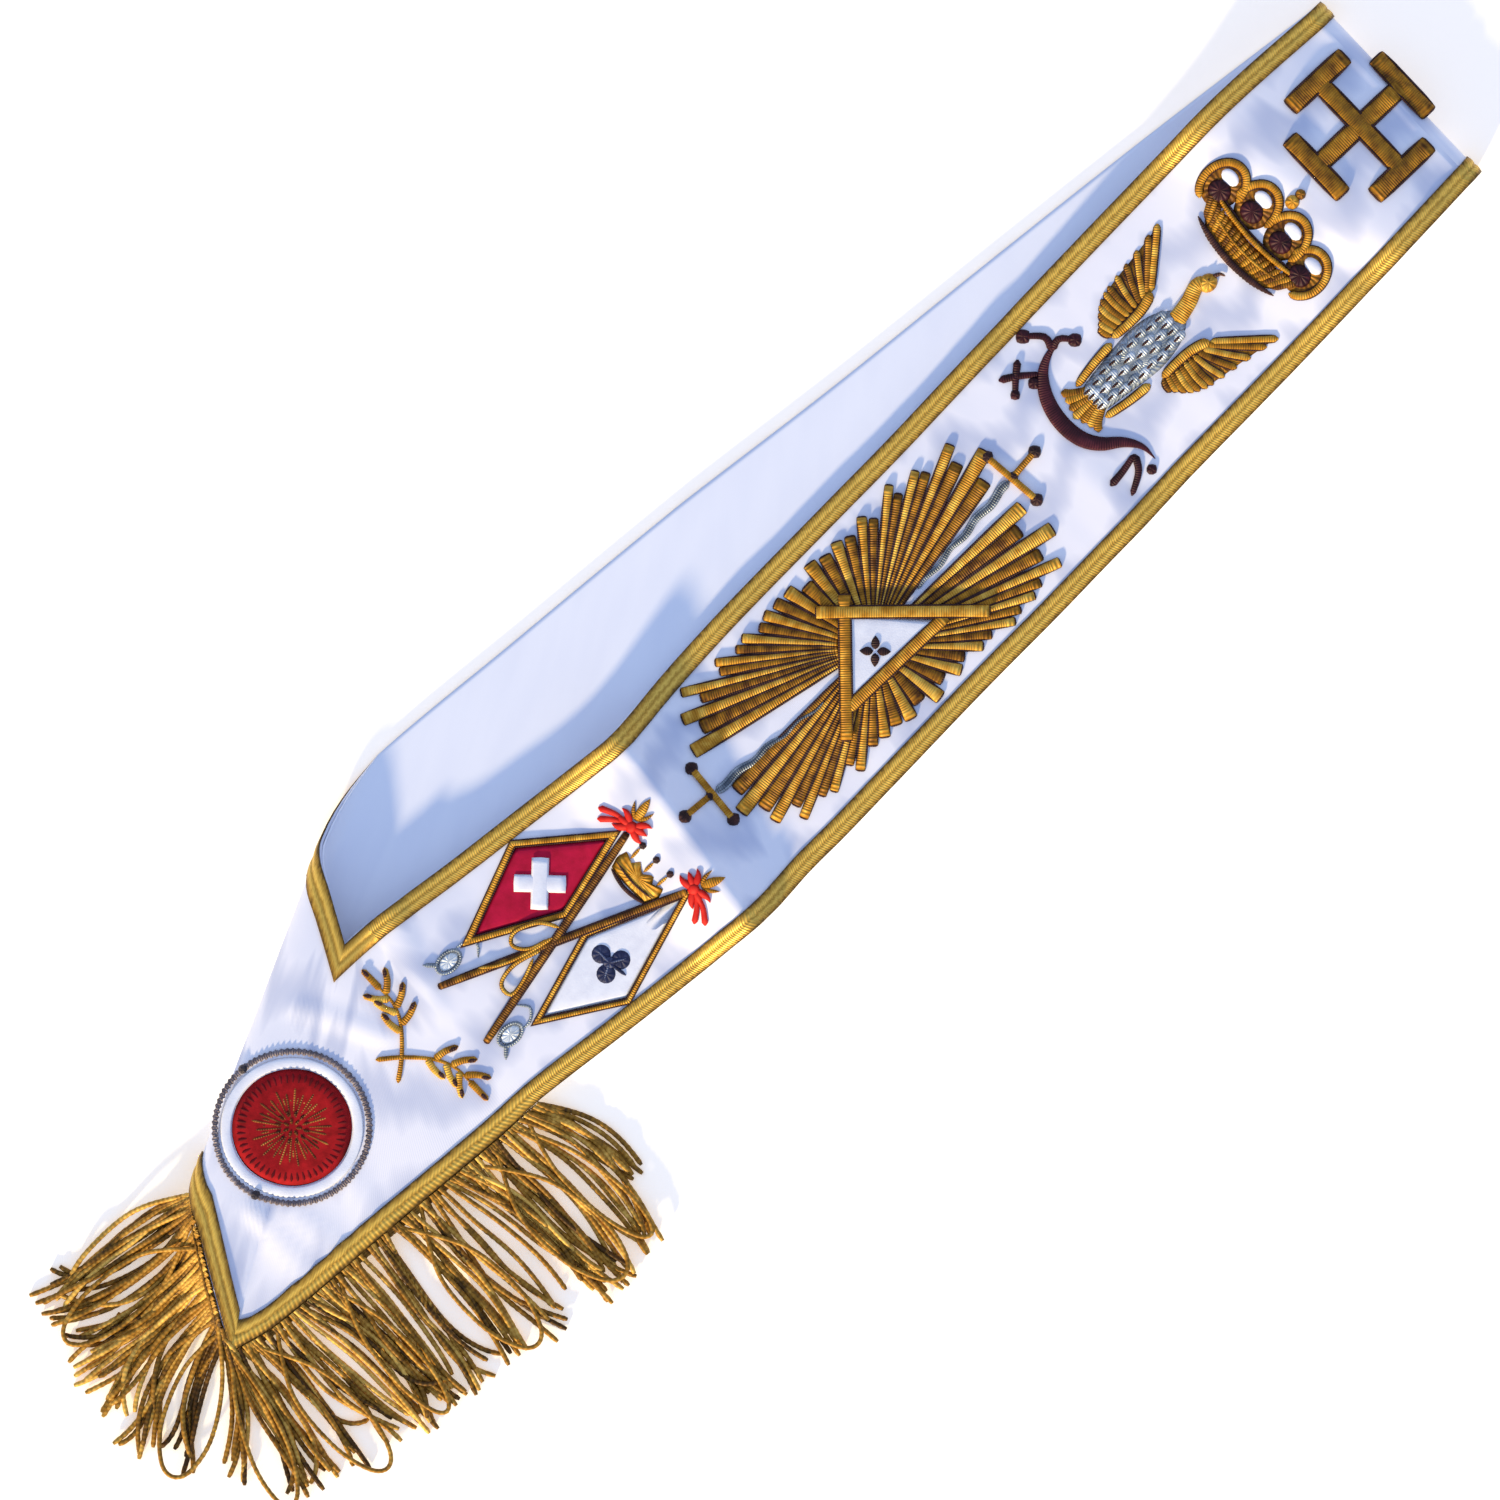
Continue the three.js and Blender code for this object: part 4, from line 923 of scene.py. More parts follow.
def arc(centre: Vector, rx: float, ry: float, start: float = 0, end: float = 360,
        steps: int = 24) -> list[Vector]:
    """Points on an elliptic arc, in degrees."""
    made = []
    for k in range(steps + 1):
        angle = math.radians(lerp(start, end, k / steps))
        made.append(Vector((centre.x + rx * math.cos(angle), centre.y + ry * math.sin(angle), 0.0)))
    return made


def ring(centre: Vector, rx: float, ry: float, steps: int) -> list[Vector]:
    """Points on a whole ellipse."""
    return arc(centre, rx, ry, steps=steps)


def diamond(centre: Vector, size: float) -> list[Vector]:
    """The outline of a four-cornered knob."""
    corners = ((size, 0, 0), (0, size, 0), (-size, 0, 0), (0, -size, 0))
    return curve([centre + Vector(corner) for corner in corners], 4, True)


def inset(points: list[Vector], distance: float) -> list[Vector]:
    """A four-cornered outline with its sides moved towards its middle."""
    centre = sum(points, Vector()) / len(points)
    moved = []
    for before, corner, after in zip(points[-1:] + points[:-1], points, points[1:] + points[:1]):
        sides = []
        for a, b in ((before, corner), (corner, after)):
            normal = leftward((b - a).normalized())
            sides.append(normal if normal.dot(centre - a) > 0 else -normal)
        bisector = (sides[0] + sides[1]).normalized()
        moved.append(corner + bisector * (distance / bisector.dot(sides[0])))
    return moved


def framed(corners: list[Vector], step: float = 2.0) -> list[Vector]:
    """A closed outline's points, its corners among them."""
    made = []
    for a, b in zip(corners, corners[1:] + corners[:1]):
        made += resample([a, b], step)[:-1]
    return made + [made[0].copy()]


def curve(points: Sequence[Sequence[float]], steps: int = 8, closed: bool = False) -> list[Vector]:
    """A smooth line through a few points."""
    line = spaced(points)
    count = len(line)
    made = []
    for i in range(count if closed else count - 1):
        picked = [(i + k) % count if closed else int(clamp(i + k, 0, count - 1)) for k in (-1, 0, 1, 2)]
        a, b, c, d = (line[k] for k in picked)
        for s in range(steps):
            t = s / steps
            made.append(0.5 * (2 * b + (c - a) * t + (2 * a - 5 * b + 4 * c - d) * t * t
                               + (3 * b - a - 3 * c + d) * t * t * t))
    if not closed:
        made.append(line[-1].copy())
    return made


class Stitching:
    """Stitched shapes, made flat over the ribbon in millimetres and then laid on its face."""

    STEP = 2.0
    CUT = 0.25
    LEAST_MITRE = 0.4
    EDGE_TONE = 0.4
    CLEARANCE = 0.05
    HUB_PULL = 0.15
    HUB_SAG = 1.4

    def __init__(self, finish: Finish) -> None:
        self.finish = finish
        self.bm = bmesh.new()
        self.uv = self.bm.loops.layers.uv.new("UVMap")
        self.tone = self.bm.verts.layers.float.new("tone")

    def _grid(self, rows: int, around: int, size: tuple[float, float], tone: float,
              place: Callable[[float, float], Vector]) -> None:
        made = bmesh.ops.create_grid(self.bm, x_segments=rows, y_segments=around, size=0.5)
        verts = made["verts"]
        shares = {v: (v.co.x + 0.5, v.co.y + 0.5) for v in verts}
        for face in {f for v in verts for f in v.link_faces}:
            for corner in face.loops:
                a, b = shares[corner.vert]
                corner[self.uv].uv = (a * size[0], b * size[1])
        for v, (a, b) in shares.items():
            v[self.tone] = tone
            v.co = place(a, b)
        bmesh.ops.remove_doubles(self.bm, verts=verts, dist=0.01)

    def sweep(self, points: Line, width: float, relief: float, base: float = 0.0, tone: float = 0.5,
              profile: Profile = rounded, closed: bool = False, around: int = 8, plump: float = 0.7,
              step: float | None = None, twist: float = 0.0, lobes: float = 0.0, exact: bool = False) -> None:
        """A padded bar or a cord along a line.

        Args:
            points: the line, in millimetres.
            width: the full width across the line.
            relief: how far it stands off the ribbon.
            base: how far its underside is off the ribbon.
            tone: how light it is, from 0 to 1.
            profile: the share of the width along the line.
            closed: whether the line's end meets its start.
            around: how many faces its section has.
            plump: below 1 for a fuller section.
            step: the spacing of its rings.
            twist: how far a cord turns over each millimetre, in radians.
            lobes: how deep the groove between a cord's two strands is.
            exact: whether the line's own points are its rings.
        """
        line = list(points) if exact else resample(points, step or self.STEP, closed)
        rows = len(line) - 1
        if not closed and rows > 3 and profile(0.0) < 0.5 * profile(0.001):
            line[1] = line[0] + (line[1] - line[0]).normalized() * self.CUT
            line[-2] = line[-1] + (line[-2] - line[-1]).normalized() * self.CUT
        length = sum((b - a).length for a, b in zip(line, line[1:]))
        sides = []
        for k in range(rows + 1):
            ahead = line[(k + 1) % rows] if closed else line[min(k + 1, rows)]
            back = line[(k - 1) % rows] if closed else line[max(k - 1, 0)]
            legs = ((back, line[k]), (line[k], ahead))
            ways = [Vector((b.x - a.x, b.y - a.y, 0)).normalized() for a, b in legs]
            side = leftward(ways[0] + ways[1]).normalized()
            leg = ways[1] if ways[1].length else ways[0]
            mitre = max(self.LEAST_MITRE, abs(side.x * leg.y - side.y * leg.x)) if exact else 1.0
            sides.append(side / mitre)

        def place(a: float, b: float) -> Vector:
            k = round(a * rows)
            share = 1.0 if closed else profile(a)
            angle = 2 * math.pi * b
            lobe = 1 - lobes * math.sin(angle + twist * a * length) ** 2
            c, s = math.cos(angle), math.sin(angle)
            half = width * share / 2 * lobe
            rise = math.copysign(abs(s) ** plump, s)
            height = relief * min(1.0, share ** 0.5) * lobe
            middle = height / 2
            point = line[k] + sides[k] * half * c
            return Vector((point.x, point.y, line[k].z + base + middle + middle * rise))

        self._grid(rows, around, (length, math.pi * width / 2), tone, place)

    def cushion(self, outline: Line, relief: float, base: float = 0.0, tone: float = 0.5,
                rings: int = 5, plump: float = 0.5, flat: float = 0.0) -> None:
        """A stuffed or flat patch with a rounded edge, from a star-shaped outline.

        Args:
            outline: its closed outline, in millimetres.
            relief: how far its middle stands off the ribbon.
            base: how far its underside is off the ribbon.
            tone: how light it is, from 0 to 1.
            rings: how many steps it has from edge to middle.
            plump: below 1 for a fuller section.
            flat: the share of the way to the edge up to which it is level.
        """
        line = resample(outline, self.STEP, True)[:-1]
        count = len(line)
        centre = sum(line, Vector()) / count
        size = max((p - centre).length for p in line)

        def face(a: float, b: float) -> Vector:
            share = 1 - b
            rim = clamp((share - flat) / (1 - flat)) if share > flat else 0.0
            height = relief * max(0.0, 1 - rim * rim) ** plump
            point = centre.lerp(line[round(a * count) % count], share)
            return Vector((point.x, point.y, base + height))

        def underside(a: float, b: float) -> Vector:
            point = centre.lerp(line[round(a * count) % count], 1 - b)
            return Vector((point.x, point.y, base))

        self._grid(count, rings, (size * 2, size), tone, face)
        self._grid(count, 2, (1, 1), tone, underside)
        level = [v for v in self.bm.verts if abs(v.co.z - base) < 1e-4]
        bmesh.ops.remove_doubles(self.bm, verts=level, dist=0.005)

    def outlined(self, points: Line, width: float, relief: float, dark: "Stitching", tone: float = 0.5,
                 base: float = 0.0, profile: Profile = rounded, edge: float = 0.8,
                 plump: float = 0.7) -> None:
        """A padded bar with a thin dark thread along both of its sides, and across blunt ends."""
        self.sweep(points, width, relief, base, tone, profile, plump=plump)
        line = resample(points, self.STEP)
        last = len(line) - 1
        blunt = profile(0.0) < 0.5 * profile(0.001)
        borders = []
        for side in (-1, 1):
            border = []
            for k, p in enumerate(line):
                across = leftward(line[min(k + 1, last)] - line[max(k - 1, 0)]).normalized()
                share = clamp(k / last, 0.001, 0.999) if blunt else k / last
                border.append(p + across * side * (width * profile(share) / 2))
            dark.sweep(border, edge, edge, base, self.EDGE_TONE, around=FINE)
            borders.append(border)
        if blunt:
            for k in (0, -1):
                end = [borders[0][k], borders[1][k]]
                dark.sweep(end, edge, edge, base, self.EDGE_TONE, around=FINE, step=1.0)

    def keep(self, name: str, *nodes: str) -> None:
        """Makes a piece of the shapes where they are, which stands for some of the CAD nodes."""
        make_piece(name, self.bm, self.finish, nodes)

    def lay(self, name: str, *nodes: str, hub: Vector | None = None) -> None:
        """Lays the shapes on the ribbon's face and makes a piece of them.

        Args:
            name: the piece's name.
            nodes: the CAD nodes that it stands for.
            hub: the middle of a stiff badge, whose rim doesn't hang down where the ribbon falls away.
        """
        for v in self.bm.verts:
            height = surface(v.co.x, v.co.y)
            if hub is not None:
                inner = v.co.lerp(hub, self.HUB_PULL)
                height = max(height, surface(inner.x, inner.y) - self.HUB_SAG)
            v.co.z += height + self.CLEARANCE
        self.keep(name, *nodes)


def threads(*finishes: Finish) -> list[Stitching]:
    """One set of shapes for each finish."""
    return [Stitching(finish) for finish in finishes]


@dataclass(frozen=True)
class Place:
    """An emblem's centre and size: shares of its length go from its centre."""

    along: float
    side: float
    length: float = 1.0

    def at(self, x: float, y: float) -> Vector:
        """A point at shares of the length from the centre."""
        centre = plan(self.along, self.side)
        return Vector((centre.x + x * self.length, centre.y + y * self.length, 0.0))

    def set(self, points: Iterable[Sequence[float]], x: float = 0.0, y: float = 0.0,
            degrees: float = 0.0) -> list[Vector]:
        """Moves flat points in millimetres about the origin to a place, turned."""
        centre = self.at(x, y)
        angle = math.radians(degrees)
        c, s = math.cos(angle), math.sin(angle)
        return [Vector((centre.x + p[0] * c - p[1] * s, centre.y + p[0] * s + p[1] * c, 0.0)) for p in points]


class Rosette:
    """The red badge at the hip, with a white collar and a twisted cord."""

    RADIUS = 27.0
    PADDED = 2.0
    COLLAR = 5.0
    CORD = 3.4
    STROKES = 52
    KNOTS = (86, 198)
    STARTS = (0.12, 0.34, 0.22, 0.42)
    ENDS = (0.62, 0.55, 0.7, 0.5)

    def build(self) -> None:
        centre, radius = ROSETTE_PLACE, self.RADIUS
        disc, collar, cord = threads(Finish.BADGE, Finish.WHITE, Finish.CORD)
        disc.cushion(ring(centre, radius, radius, 60), self.PADDED, rings=8, flat=0.75)
        disc.lay("Rosette disc", "rosette_disc", hub=centre)
        middle = radius + 0.3 + self.COLLAR / 2
        collar.sweep(ring(centre, middle, middle, 72), self.COLLAR, 0.8, closed=True, plump=0.4)
        collar.lay("Rosette collar", "rosette_collar", hub=centre)
        reach = radius + self.COLLAR + 2.9
        line = ring(centre, reach, reach, 90)
        cord.sweep(line, self.CORD, 1.4, closed=True, step=0.55, twist=1.25, lobes=0.5)
        for degrees in self.KNOTS:
            spot = arc(centre, reach, reach, degrees, degrees, 1)[0]
            cord.cushion(ring(spot, 2.4, 2.2, 12), 1.9, 0.2, 0.0)
        cord.lay("Rosette cord", "rosette_cord", hub=centre)
        self._strokes(centre)

    def _strokes(self, centre: Vector) -> None:
        """Stitches that run out from the middle, petals round it, and strips of painted shade in the pleats
        near the rim.
        """
        rays, pleats = threads(Finish.RUST, Finish.PLEAT)
        radius, top = self.RADIUS, self.PADDED
        for k in range(self.STROKES):
            angle = 2 * math.pi * k / self.STROKES
            way = heading(angle)
            line = [centre + way * (radius * share) for share in (self.STARTS[k % 4], self.ENDS[k % 4])]
            rays.sweep(line, 1.3, 0.6, top - 0.4, 0.25 + 0.3 * (k % 3 == 0), tapering(0.6, 1.0), around=FINE)
            way = heading(angle + math.pi / self.STROKES)
            line = [centre + way * (radius * share) for share in (0.46 if k % 2 else 0.58, 0.92)]
            # The pleats are strips of darker velvet: painted shade in the folds.
            pleats.sweep(line, 1.5, 0.55, top - 0.5, 0.3, tapering(0.4, 1.0), around=FINE, step=1.5)
        for share, count, tone in ((0.12, 7, 0.2), (0.25, 12, 0.08)):
            for k in range(count):
                way = heading(2 * math.pi * (k + 0.4 * share) / count)
                foot = centre + way * radius * (share - 0.07)
                tip = foot + way * radius * 0.13
                rays.sweep([foot, tip], 1.5, 0.7, top - 0.25, tone, leaf, step=0.9, around=FINE)
        rays.lay("Rosette stitching", hub=centre)
        pleats.lay("Rosette pleats", hub=centre)


class Sprigs:
    """Two crossed leaf sprigs."""

    PLACE = Place(0.2, 0.3625, 78.0)
    LEAF = 12.5
    LEAF_WIDTH = 4.0
    SPREAD = 0.72
    STEM = ((-0.208, -0.094), (-0.085, 0.003), (0.04, 0.14), (0.095, 0.26), (0.1, 0.38))
    LEAVES = ((0.46, 1), (0.52, -1), (0.64, 1), (0.7, -1), (0.82, 1), (0.88, -1), (1.0, 0))

    def build(self) -> None:
        gold, dark = threads(Finish.GOLD, Finish.DARK)
        for direction in (1, -1):
            stem = curve([self.PLACE.at(x, y * direction) for x, y in self.STEM])
            gold.sweep(stem, 2.4, 1.3, tone=0.4, profile=tapering(1.0, 0.5), step=1.5)
            for share, side in self.LEAVES:
                k = min(int(share * (len(stem) - 1)), len(stem) - 2)
                way = (stem[k + 1] - stem[k]).normalized()
                way = heading(math.atan2(way.y, way.x) + side * direction * self.SPREAD)
                foot, tip = stem[k], stem[k] + way * self.LEAF
                bent = foot.lerp(tip, 0.5) + leftward(way) * side * direction * 0.9
                gold.sweep(curve([foot, bent, tip], 5), self.LEAF_WIDTH, 1.6, tone=0.42 + 0.28 * (side > 0),
                           profile=tapering(0.85, 0.7), step=1.3)
                dark.sweep([foot.lerp(tip, 0.62), tip], 2.0, 0.9, 1.0, 0.5, leaf, step=1.3, around=FINE)
        gold.lay("Sprigs", "sprigs")
        dark.lay("Sprig tips")


class Trophy:
    """Two crossed banners on poles, with bows, finials, tassels and a small crown."""

    PLACE = Place(0.3143, 0.292, 133.0)
    POLES = (((-0.483, -0.103), (0.36, 0.083)), ((-0.466, 0.145), (0.37, -0.202)))
    RED_CORNERS = ((-0.293, 0.19), (0.017, 0.028), (0.328, 0.11), (0.052, 0.328))
    WHITE_CORNERS = ((-0.31, -0.172), (-0.034, -0.338), (0.37, -0.207), (0.017, -0.069))
    TASSELS = (("upper", -0.385, 0.185, 1), ("lower", -0.405, -0.142, -1))
    SWIRLS = (
        ((-0.029, 0.009), (-0.071, 0.071), (-0.152, 0.104), (-0.19, 0.076), (-0.156, 0.028), (-0.083, 0.006)),
        ((-0.071, 0.0), (-0.183, 0.024), (-0.272, 0.06), (-0.325, 0.099)),
        ((-0.13, -0.003), (-0.229, 0.023), (-0.307, 0.007), (-0.309, -0.045), (-0.241, -0.037),
         (-0.167, -0.006)),
    )
    CROWN = (
        (0.5, -11.5), (0.0, 0.0), (0.5, 11.5), (6.0, 13.5), (11.5, 12.0), (8.0, 7.5),
        (12.5, 4.5), (9.0, 0.0), (12.5, -4.5), (8.0, -7.5), (11.5, -12.0), (6.0, -13.5),
    )

    def build(self) -> None:
        self._cross(self._banner("banner_red", self.RED_CORNERS, Finish.RED, 2.6))
        self._trefoil(self._banner("banner_white", self.WHITE_CORNERS, Finish.WHITE, 2.0))
        poles = [[self.PLACE.at(x, y) for x, y in pole] for pole in self.POLES]
        gold, dark = threads(Finish.GOLD, Finish.DARK)
        for pole in poles:
            gold.outlined(pole, 3.0, 1.6, dark, 0.12, 0.4, square, edge=1.3)
        gold.lay("Poles", "poles")
        dark.lay("Pole outlines")
        for (butt, tip), label, tail in zip(poles, ("upper", "lower"), (1, -1)):
            self._bow(tip, (tip - butt).normalized(), label, tail)
        for tassel in self.TASSELS:
            self._tassel(*tassel)
        self._swirls()
        self._crown()

    def _banner(self, node: str, corners: Sequence[Sequence[float]], finish: Finish, border: float) -> Vector:
        """One banner with its border; gives its middle."""
        points = [self.PLACE.at(x, y) for x, y in corners]
        inner, outer = inset(points, border / 2 + 0.3), inset(points, -border / 2 - 0.1)
        title = node.replace("_", " ").capitalize()
        field, gold, dark = threads(finish, Finish.GOLD, Finish.DARK)
        field.cushion(inner, 0.7, rings=8, flat=0.85)
        field.lay(title, node)
        gold.sweep(framed(points), border, 1.4, 0.0, 0.55, closed=True, exact=True)
        for line in (inner, outer):
            dark.sweep(framed(line), 0.8, 0.9, 0.2, 0.4, closed=True, around=FINE, exact=True)
        gold.lay(title + " border", node + "_border")
        dark.lay(title + " outline")
        return sum(points, Vector()) / 4

    @staticmethod
    def _cross(centre: Vector) -> None:
        cross = Stitching(Finish.WHITE)
        for degrees, base in ((45, 0.82), (-45, 0.7)):
            c, s = math.cos(math.radians(degrees)), math.sin(math.radians(degrees))
            line = [centre + Vector((x * c, x * s, 0)) for x in (-12.0, 12.0)]
            cross.sweep(line, 8.0, 0.9, base, profile=lambda share: square(share, 0.05), plump=0.35, step=1.5)
        cross.lay("Banner cross", "banner_red_cross")

    @staticmethod
    def _trefoil(centre: Vector) -> None:
        flower = Stitching(Finish.NAVY)
        for k in range(3):
            spot = centre + heading(math.pi / 2 + k * 2 * math.pi / 3) * 5.4
            flower.cushion(ring(spot, 4.6, 4.6, 16), 1.2, 0.6, 0.4)
            vein = [centre, spot + (spot - centre) * 0.5]
            flower.sweep(vein, 1.0, 0.6, 1.6, 0.9, leaf, step=1.0, around=FINE)
        flower.cushion(ring(centre, 3.2, 3.2, 12), 1.4, 0.7, 0.6)
        flower.sweep([centre, centre + Vector((1.5, -9.5, 0))], 1.6, 1.0, 0.6, 0.3, step=1.2, around=FINE)
        flower.lay("Banner trefoil", "banner_white_trefoil")

    @staticmethod
    def _bow(tip: Vector, way: Vector, label: str, tail: int) -> None:
        """A bow with two tails at a pole's tip, and the finial beyond it."""
        bow, finial = threads(Finish.BOW, Finish.GOLD)
        side = leftward(way)
        knot = tip + way * 3.6
        for hand in (-1, 1):
            for lean in (-0.5, 0.1, 0.7):
                end = knot + side * hand * 8.5 + way * lean * 7
                line = curve([knot, knot.lerp(end, 0.6) + way * lean * 2, end], 5)
                bow.sweep(line, 3.4, 1.9, 0.2, 0.5, leaf, step=1.2)
        for reach, lean in ((17.5, -1.0), (15.0, -5.5)):
            middle = knot + side * tail * reach * 0.5 + way * (lean * 0.5 + 1.5)
            line = curve([knot, middle, knot + side * tail * reach + way * lean], 6)
            bow.sweep(line, 2.6, 1.4, 0.0, 0.4, tapering(0.7, 1.2), step=1.5)
        bow.cushion(ring(knot, 3.0, 3.0, 12), 1.8, 1.0)
        bow.lay(f"Bow {label}", f"bow_{label}")
        start = knot + way * 3.6
        finial.sweep([start, start + way * 12], 4.4, 1.7, 0.1, 0.45, leaf, step=1.2)
        for hand in (-1, 1):
            middle, end = start + way * 3 + side * hand * 3.2, start + way * 7.5 + side * hand * 5.2
            line = curve([start, middle, end], 5)
            finial.sweep(line, 2.0, 1.2, 0.1, 0.35, leaf, step=1.2)
        finial.lay(f"Finial {label}", f"finial_{label}")

    def _tassel(self, label: str, x: float, y: float, side: int) -> None:
        """A ring of grey cord round a silver pad, with a loose end and a swinging one."""
        grey = Stitching(Finish.SILVER)
        centre = self.PLACE.at(x, y)
        corded = {"tone": 0.3, "step": 0.9, "twist": 1.8, "lobes": 0.3}
        grey.sweep(ring(centre, 6.6, 4.2, 24), 1.6, 1.2, closed=True, **corded)
        grey.cushion(ring(centre, 5.8, 3.6, 16), 0.6, 0.0, 0.95, rings=4)
        swing = ((5.5, side * 2.0), (11, side * 1.5), (15, -side * 3), (11, -side * 8))
        grey.sweep(curve([centre + Vector((*point, 0)) for point in swing]), 1.5, 1.1, **corded)
        loose = ((-4, side * 1.5), (-9.5, side * 7))
        grey.sweep([centre + Vector((*point, 0)) for point in loose], 2.0, 1.1, tone=0.2)
        grey.lay(f"Tassel cord {label}", f"tassel_{label}")

    def _swirls(self) -> None:
        """Thin gold cords wound loosely round the poles."""
        gold, dark = threads(Finish.GOLD, Finish.DARK)
        for route in self.SWIRLS:
            line = curve([self.PLACE.at(x, y) for x, y in route], 6)
            gold.outlined(line, 1.7, 1.1, dark, 0.6, 1.3, tapering(1.0, 0.8), edge=0.5)
        gold.lay("Pole cords")
        dark.lay("Pole cord outlines")

    def _crown(self) -> None:
        gold, dark = threads(Finish.GOLD, Finish.DARK)

        def spots(*points: Sequence[float]) -> list[Vector]:
            return self.PLACE.set(points, 0.235, -0.052)

        gold.cushion(spots(*self.CROWN), 1.7, 0.1, 0.55)
        dark.sweep(curve(spots((0.5, -11.5), (-1.4, 0.0), (0.5, 11.5)), 6), 2.0, 1.5, 0.2, 0.4)
        dark.sweep(curve(spots((4.6, -12.5), (3.2, 0.0), (4.6, 12.5)), 6), 1.0, 0.8, 1.5, 0.4)
        for side in (-9.0, 0, 9.0):
            gold.sweep(spots((10.0, side * 0.95), (16.5, side)), 1.5, 1.2, 0.1, around=FINE)
            dark.cushion(ring(spots((18.2, side))[0], 1.9, 1.9, 10), 1.6, 0.2, 0.3)
        gold.lay("Banner crown", "banner_crown")
        dark.lay("Banner crown beads")


class Glory:
    """Rays round a triangle, with a sword through them."""

    LENGTH = 196.0
    WIDTH = 86.0
    POWER = 5.0
    SPACING = 8.3
    TURN_STEP = 0.002
    START = 12.5
    FIELD = 2.2
    BARS = (((-31, -18.0), (34, -18.0), 0.5), ((-38, -28.0), (7, 21), 0.4), ((50, -30.0), (-8, 24), 0.62))
    SWORDS = (("right", 0.505, 0.035, 6), ("left", -0.506, -0.018, 176))
    KNOBS = ((0, -15, 3.4), (0, 15, 3.4), (16, 0, 3.4), (1.2, 0, 2.6))

    def __init__(self) -> None:
        self.place = Place(0.553, 0.3, self.LENGTH)
        self.hub = self.place.at(0.0, -0.02)

    def build(self) -> None:
        for sword in self.SWORDS:
            self._sword(*sword)
        self._rays()
        self._triangle()

    def _rim(self, angle: float) -> float:
        """How far a ray reaches: a rounded oblong."""
        x, y = math.cos(angle) / (self.LENGTH * 0.51), math.sin(angle) / (self.WIDTH / 2)
        return (abs(x) ** self.POWER + abs(y) ** self.POWER) ** (-1 / self.POWER)

    def _rays(self) -> None:
        gold, dark = threads(Finish.GOLD, Finish.DARK)
        angles = self._angles()
        rng = random.Random(33)
        count = len(angles)
        rise = self.place.at(0, 0).y - self.hub.y
        for k, angle in enumerate(angles):
            gaps = [abs(math.remainder(angles[(k + side) % count] - angle, 2 * math.pi)) for side in (-1, 1)]
            full = self._rim(angle)
            reach = full * (1.0 if k % 2 else 0.92) * rng.uniform(0.9, 1.02)
            width = clamp(full * min(gaps) * 0.8, 3.2, 6.8)
            way = heading(angle)
            line = [self.hub + way * self.START, self.hub + way * reach + Vector((0, rise, 0))]
            tone = 0.24 + 0.4 * (k % 2) + rng.uniform(-0.1, 0.1)
            profile = wedge(min(1.0, self.START / reach * 1.7), 1.0)
            gold.outlined(line, width, 1.6 + 0.25 * (k % 2), dark, tone, 0.1, profile, edge=1.3)
        gold.lay("Glory rays", "glory")
        dark.lay("Glory outlines")

    def _angles(self) -> list[float]:
        """Directions at even spaces round the rim, apart from where the swords are."""
        made = []
        angle = 0.0
        travelled = 0.0
        previous = heading(angle) * self._rim(angle)
        while angle < 2 * math.pi:
            point = heading(angle) * self._rim(angle)
            travelled += (point - previous).length
            previous = point
            right = abs(point.y - 5) < 11 and point.x > 0
            left = abs(point.y - 1) < 12 and point.x < 0
            if travelled >= self.SPACING and not right and not left:
                made.append(angle)
                travelled = 0.0
            angle += self.TURN_STEP
        return made

    def _sword(self, label: str, x: float, y: float, degrees: float) -> None:
        """One end of a sword: a waved blade that goes under the rays, and its hilt."""
        blade, hilt, gold = threads(Finish.SILVER, Finish.DARK, Finish.GOLD)
        waves = [(-1.8 - 2.3 * k, 0.7 * math.sin(0.8 * k) * (k > 0)) for k in range(29)]
        line = self.place.set(waves, x, y, degrees)
        blade.sweep(line, 4.6, 1.3, 0.2, 0.3, tapering(1.0, 0.5), step=1.3)
        # Painted shade: a narrow, darkest silver bar down the blade's middle.
        blade.sweep(line, 2.2, 0.6, 1.1, 0.0, tapering(1.0, 0.5), around=FINE, step=1.3)
        blade.lay(f"Sword blade {label}", f"sword_{label}_blade")
        gold.sweep(self.place.set([(0, -14), (0, 14)], x, y, degrees), 3.2, 1.9, 0.3, 0.5, even)
        gold.sweep(self.place.set([(1, 0), (15, 0)], x, y, degrees), 3.0, 1.9, 0.2, 0.4, even, step=1.0)
        for out, across, size in self.KNOBS:
            spot = self.place.set([(out, across)], x, y, degrees)[0]
            hilt.cushion(diamond(spot, size), 2.3, 0.2, 0.3)
        hilt.lay(f"Sword knobs {label}", f"sword_{label}_hilt")
        gold.lay(f"Sword hilt {label}")

    def _triangle(self) -> None:
        gold, dark, field, flower = threads(Finish.GOLD, Finish.DARK, Finish.WHITE, Finish.DARK)
        base = self.FIELD
        field.cushion(self.place.set([(-30, -18), (31, -18), (0, 17)]), 0.5, base, rings=6, flat=0.92)
        for index, (a, b, tone) in enumerate(self.BARS):
            lift = base + 0.2 + 0.25 * index
            gold.outlined(self.place.set([a, b]), 5.6, 1.4, dark, tone, lift, square, edge=1.0)
        field.lay("Triangle field", "triangle_field")
        gold.lay("Triangle frame", "triangle_frame")
        dark.lay("Triangle outlines")
        foot = self.place.at(-0.003, -0.038)
        for degrees in (45, 135, 225, 315):
            way = heading(math.radians(degrees))
            flower.sweep([foot + way * 0.8, foot + way * 7.2], 4.0, 1.0, base + 0.5, 0.3, leaf, step=1.0)
        flower.lay("Triangle flower", "triangle_flower")


BIRD_PLACE = Place(0.777, 0.367, 117.0)


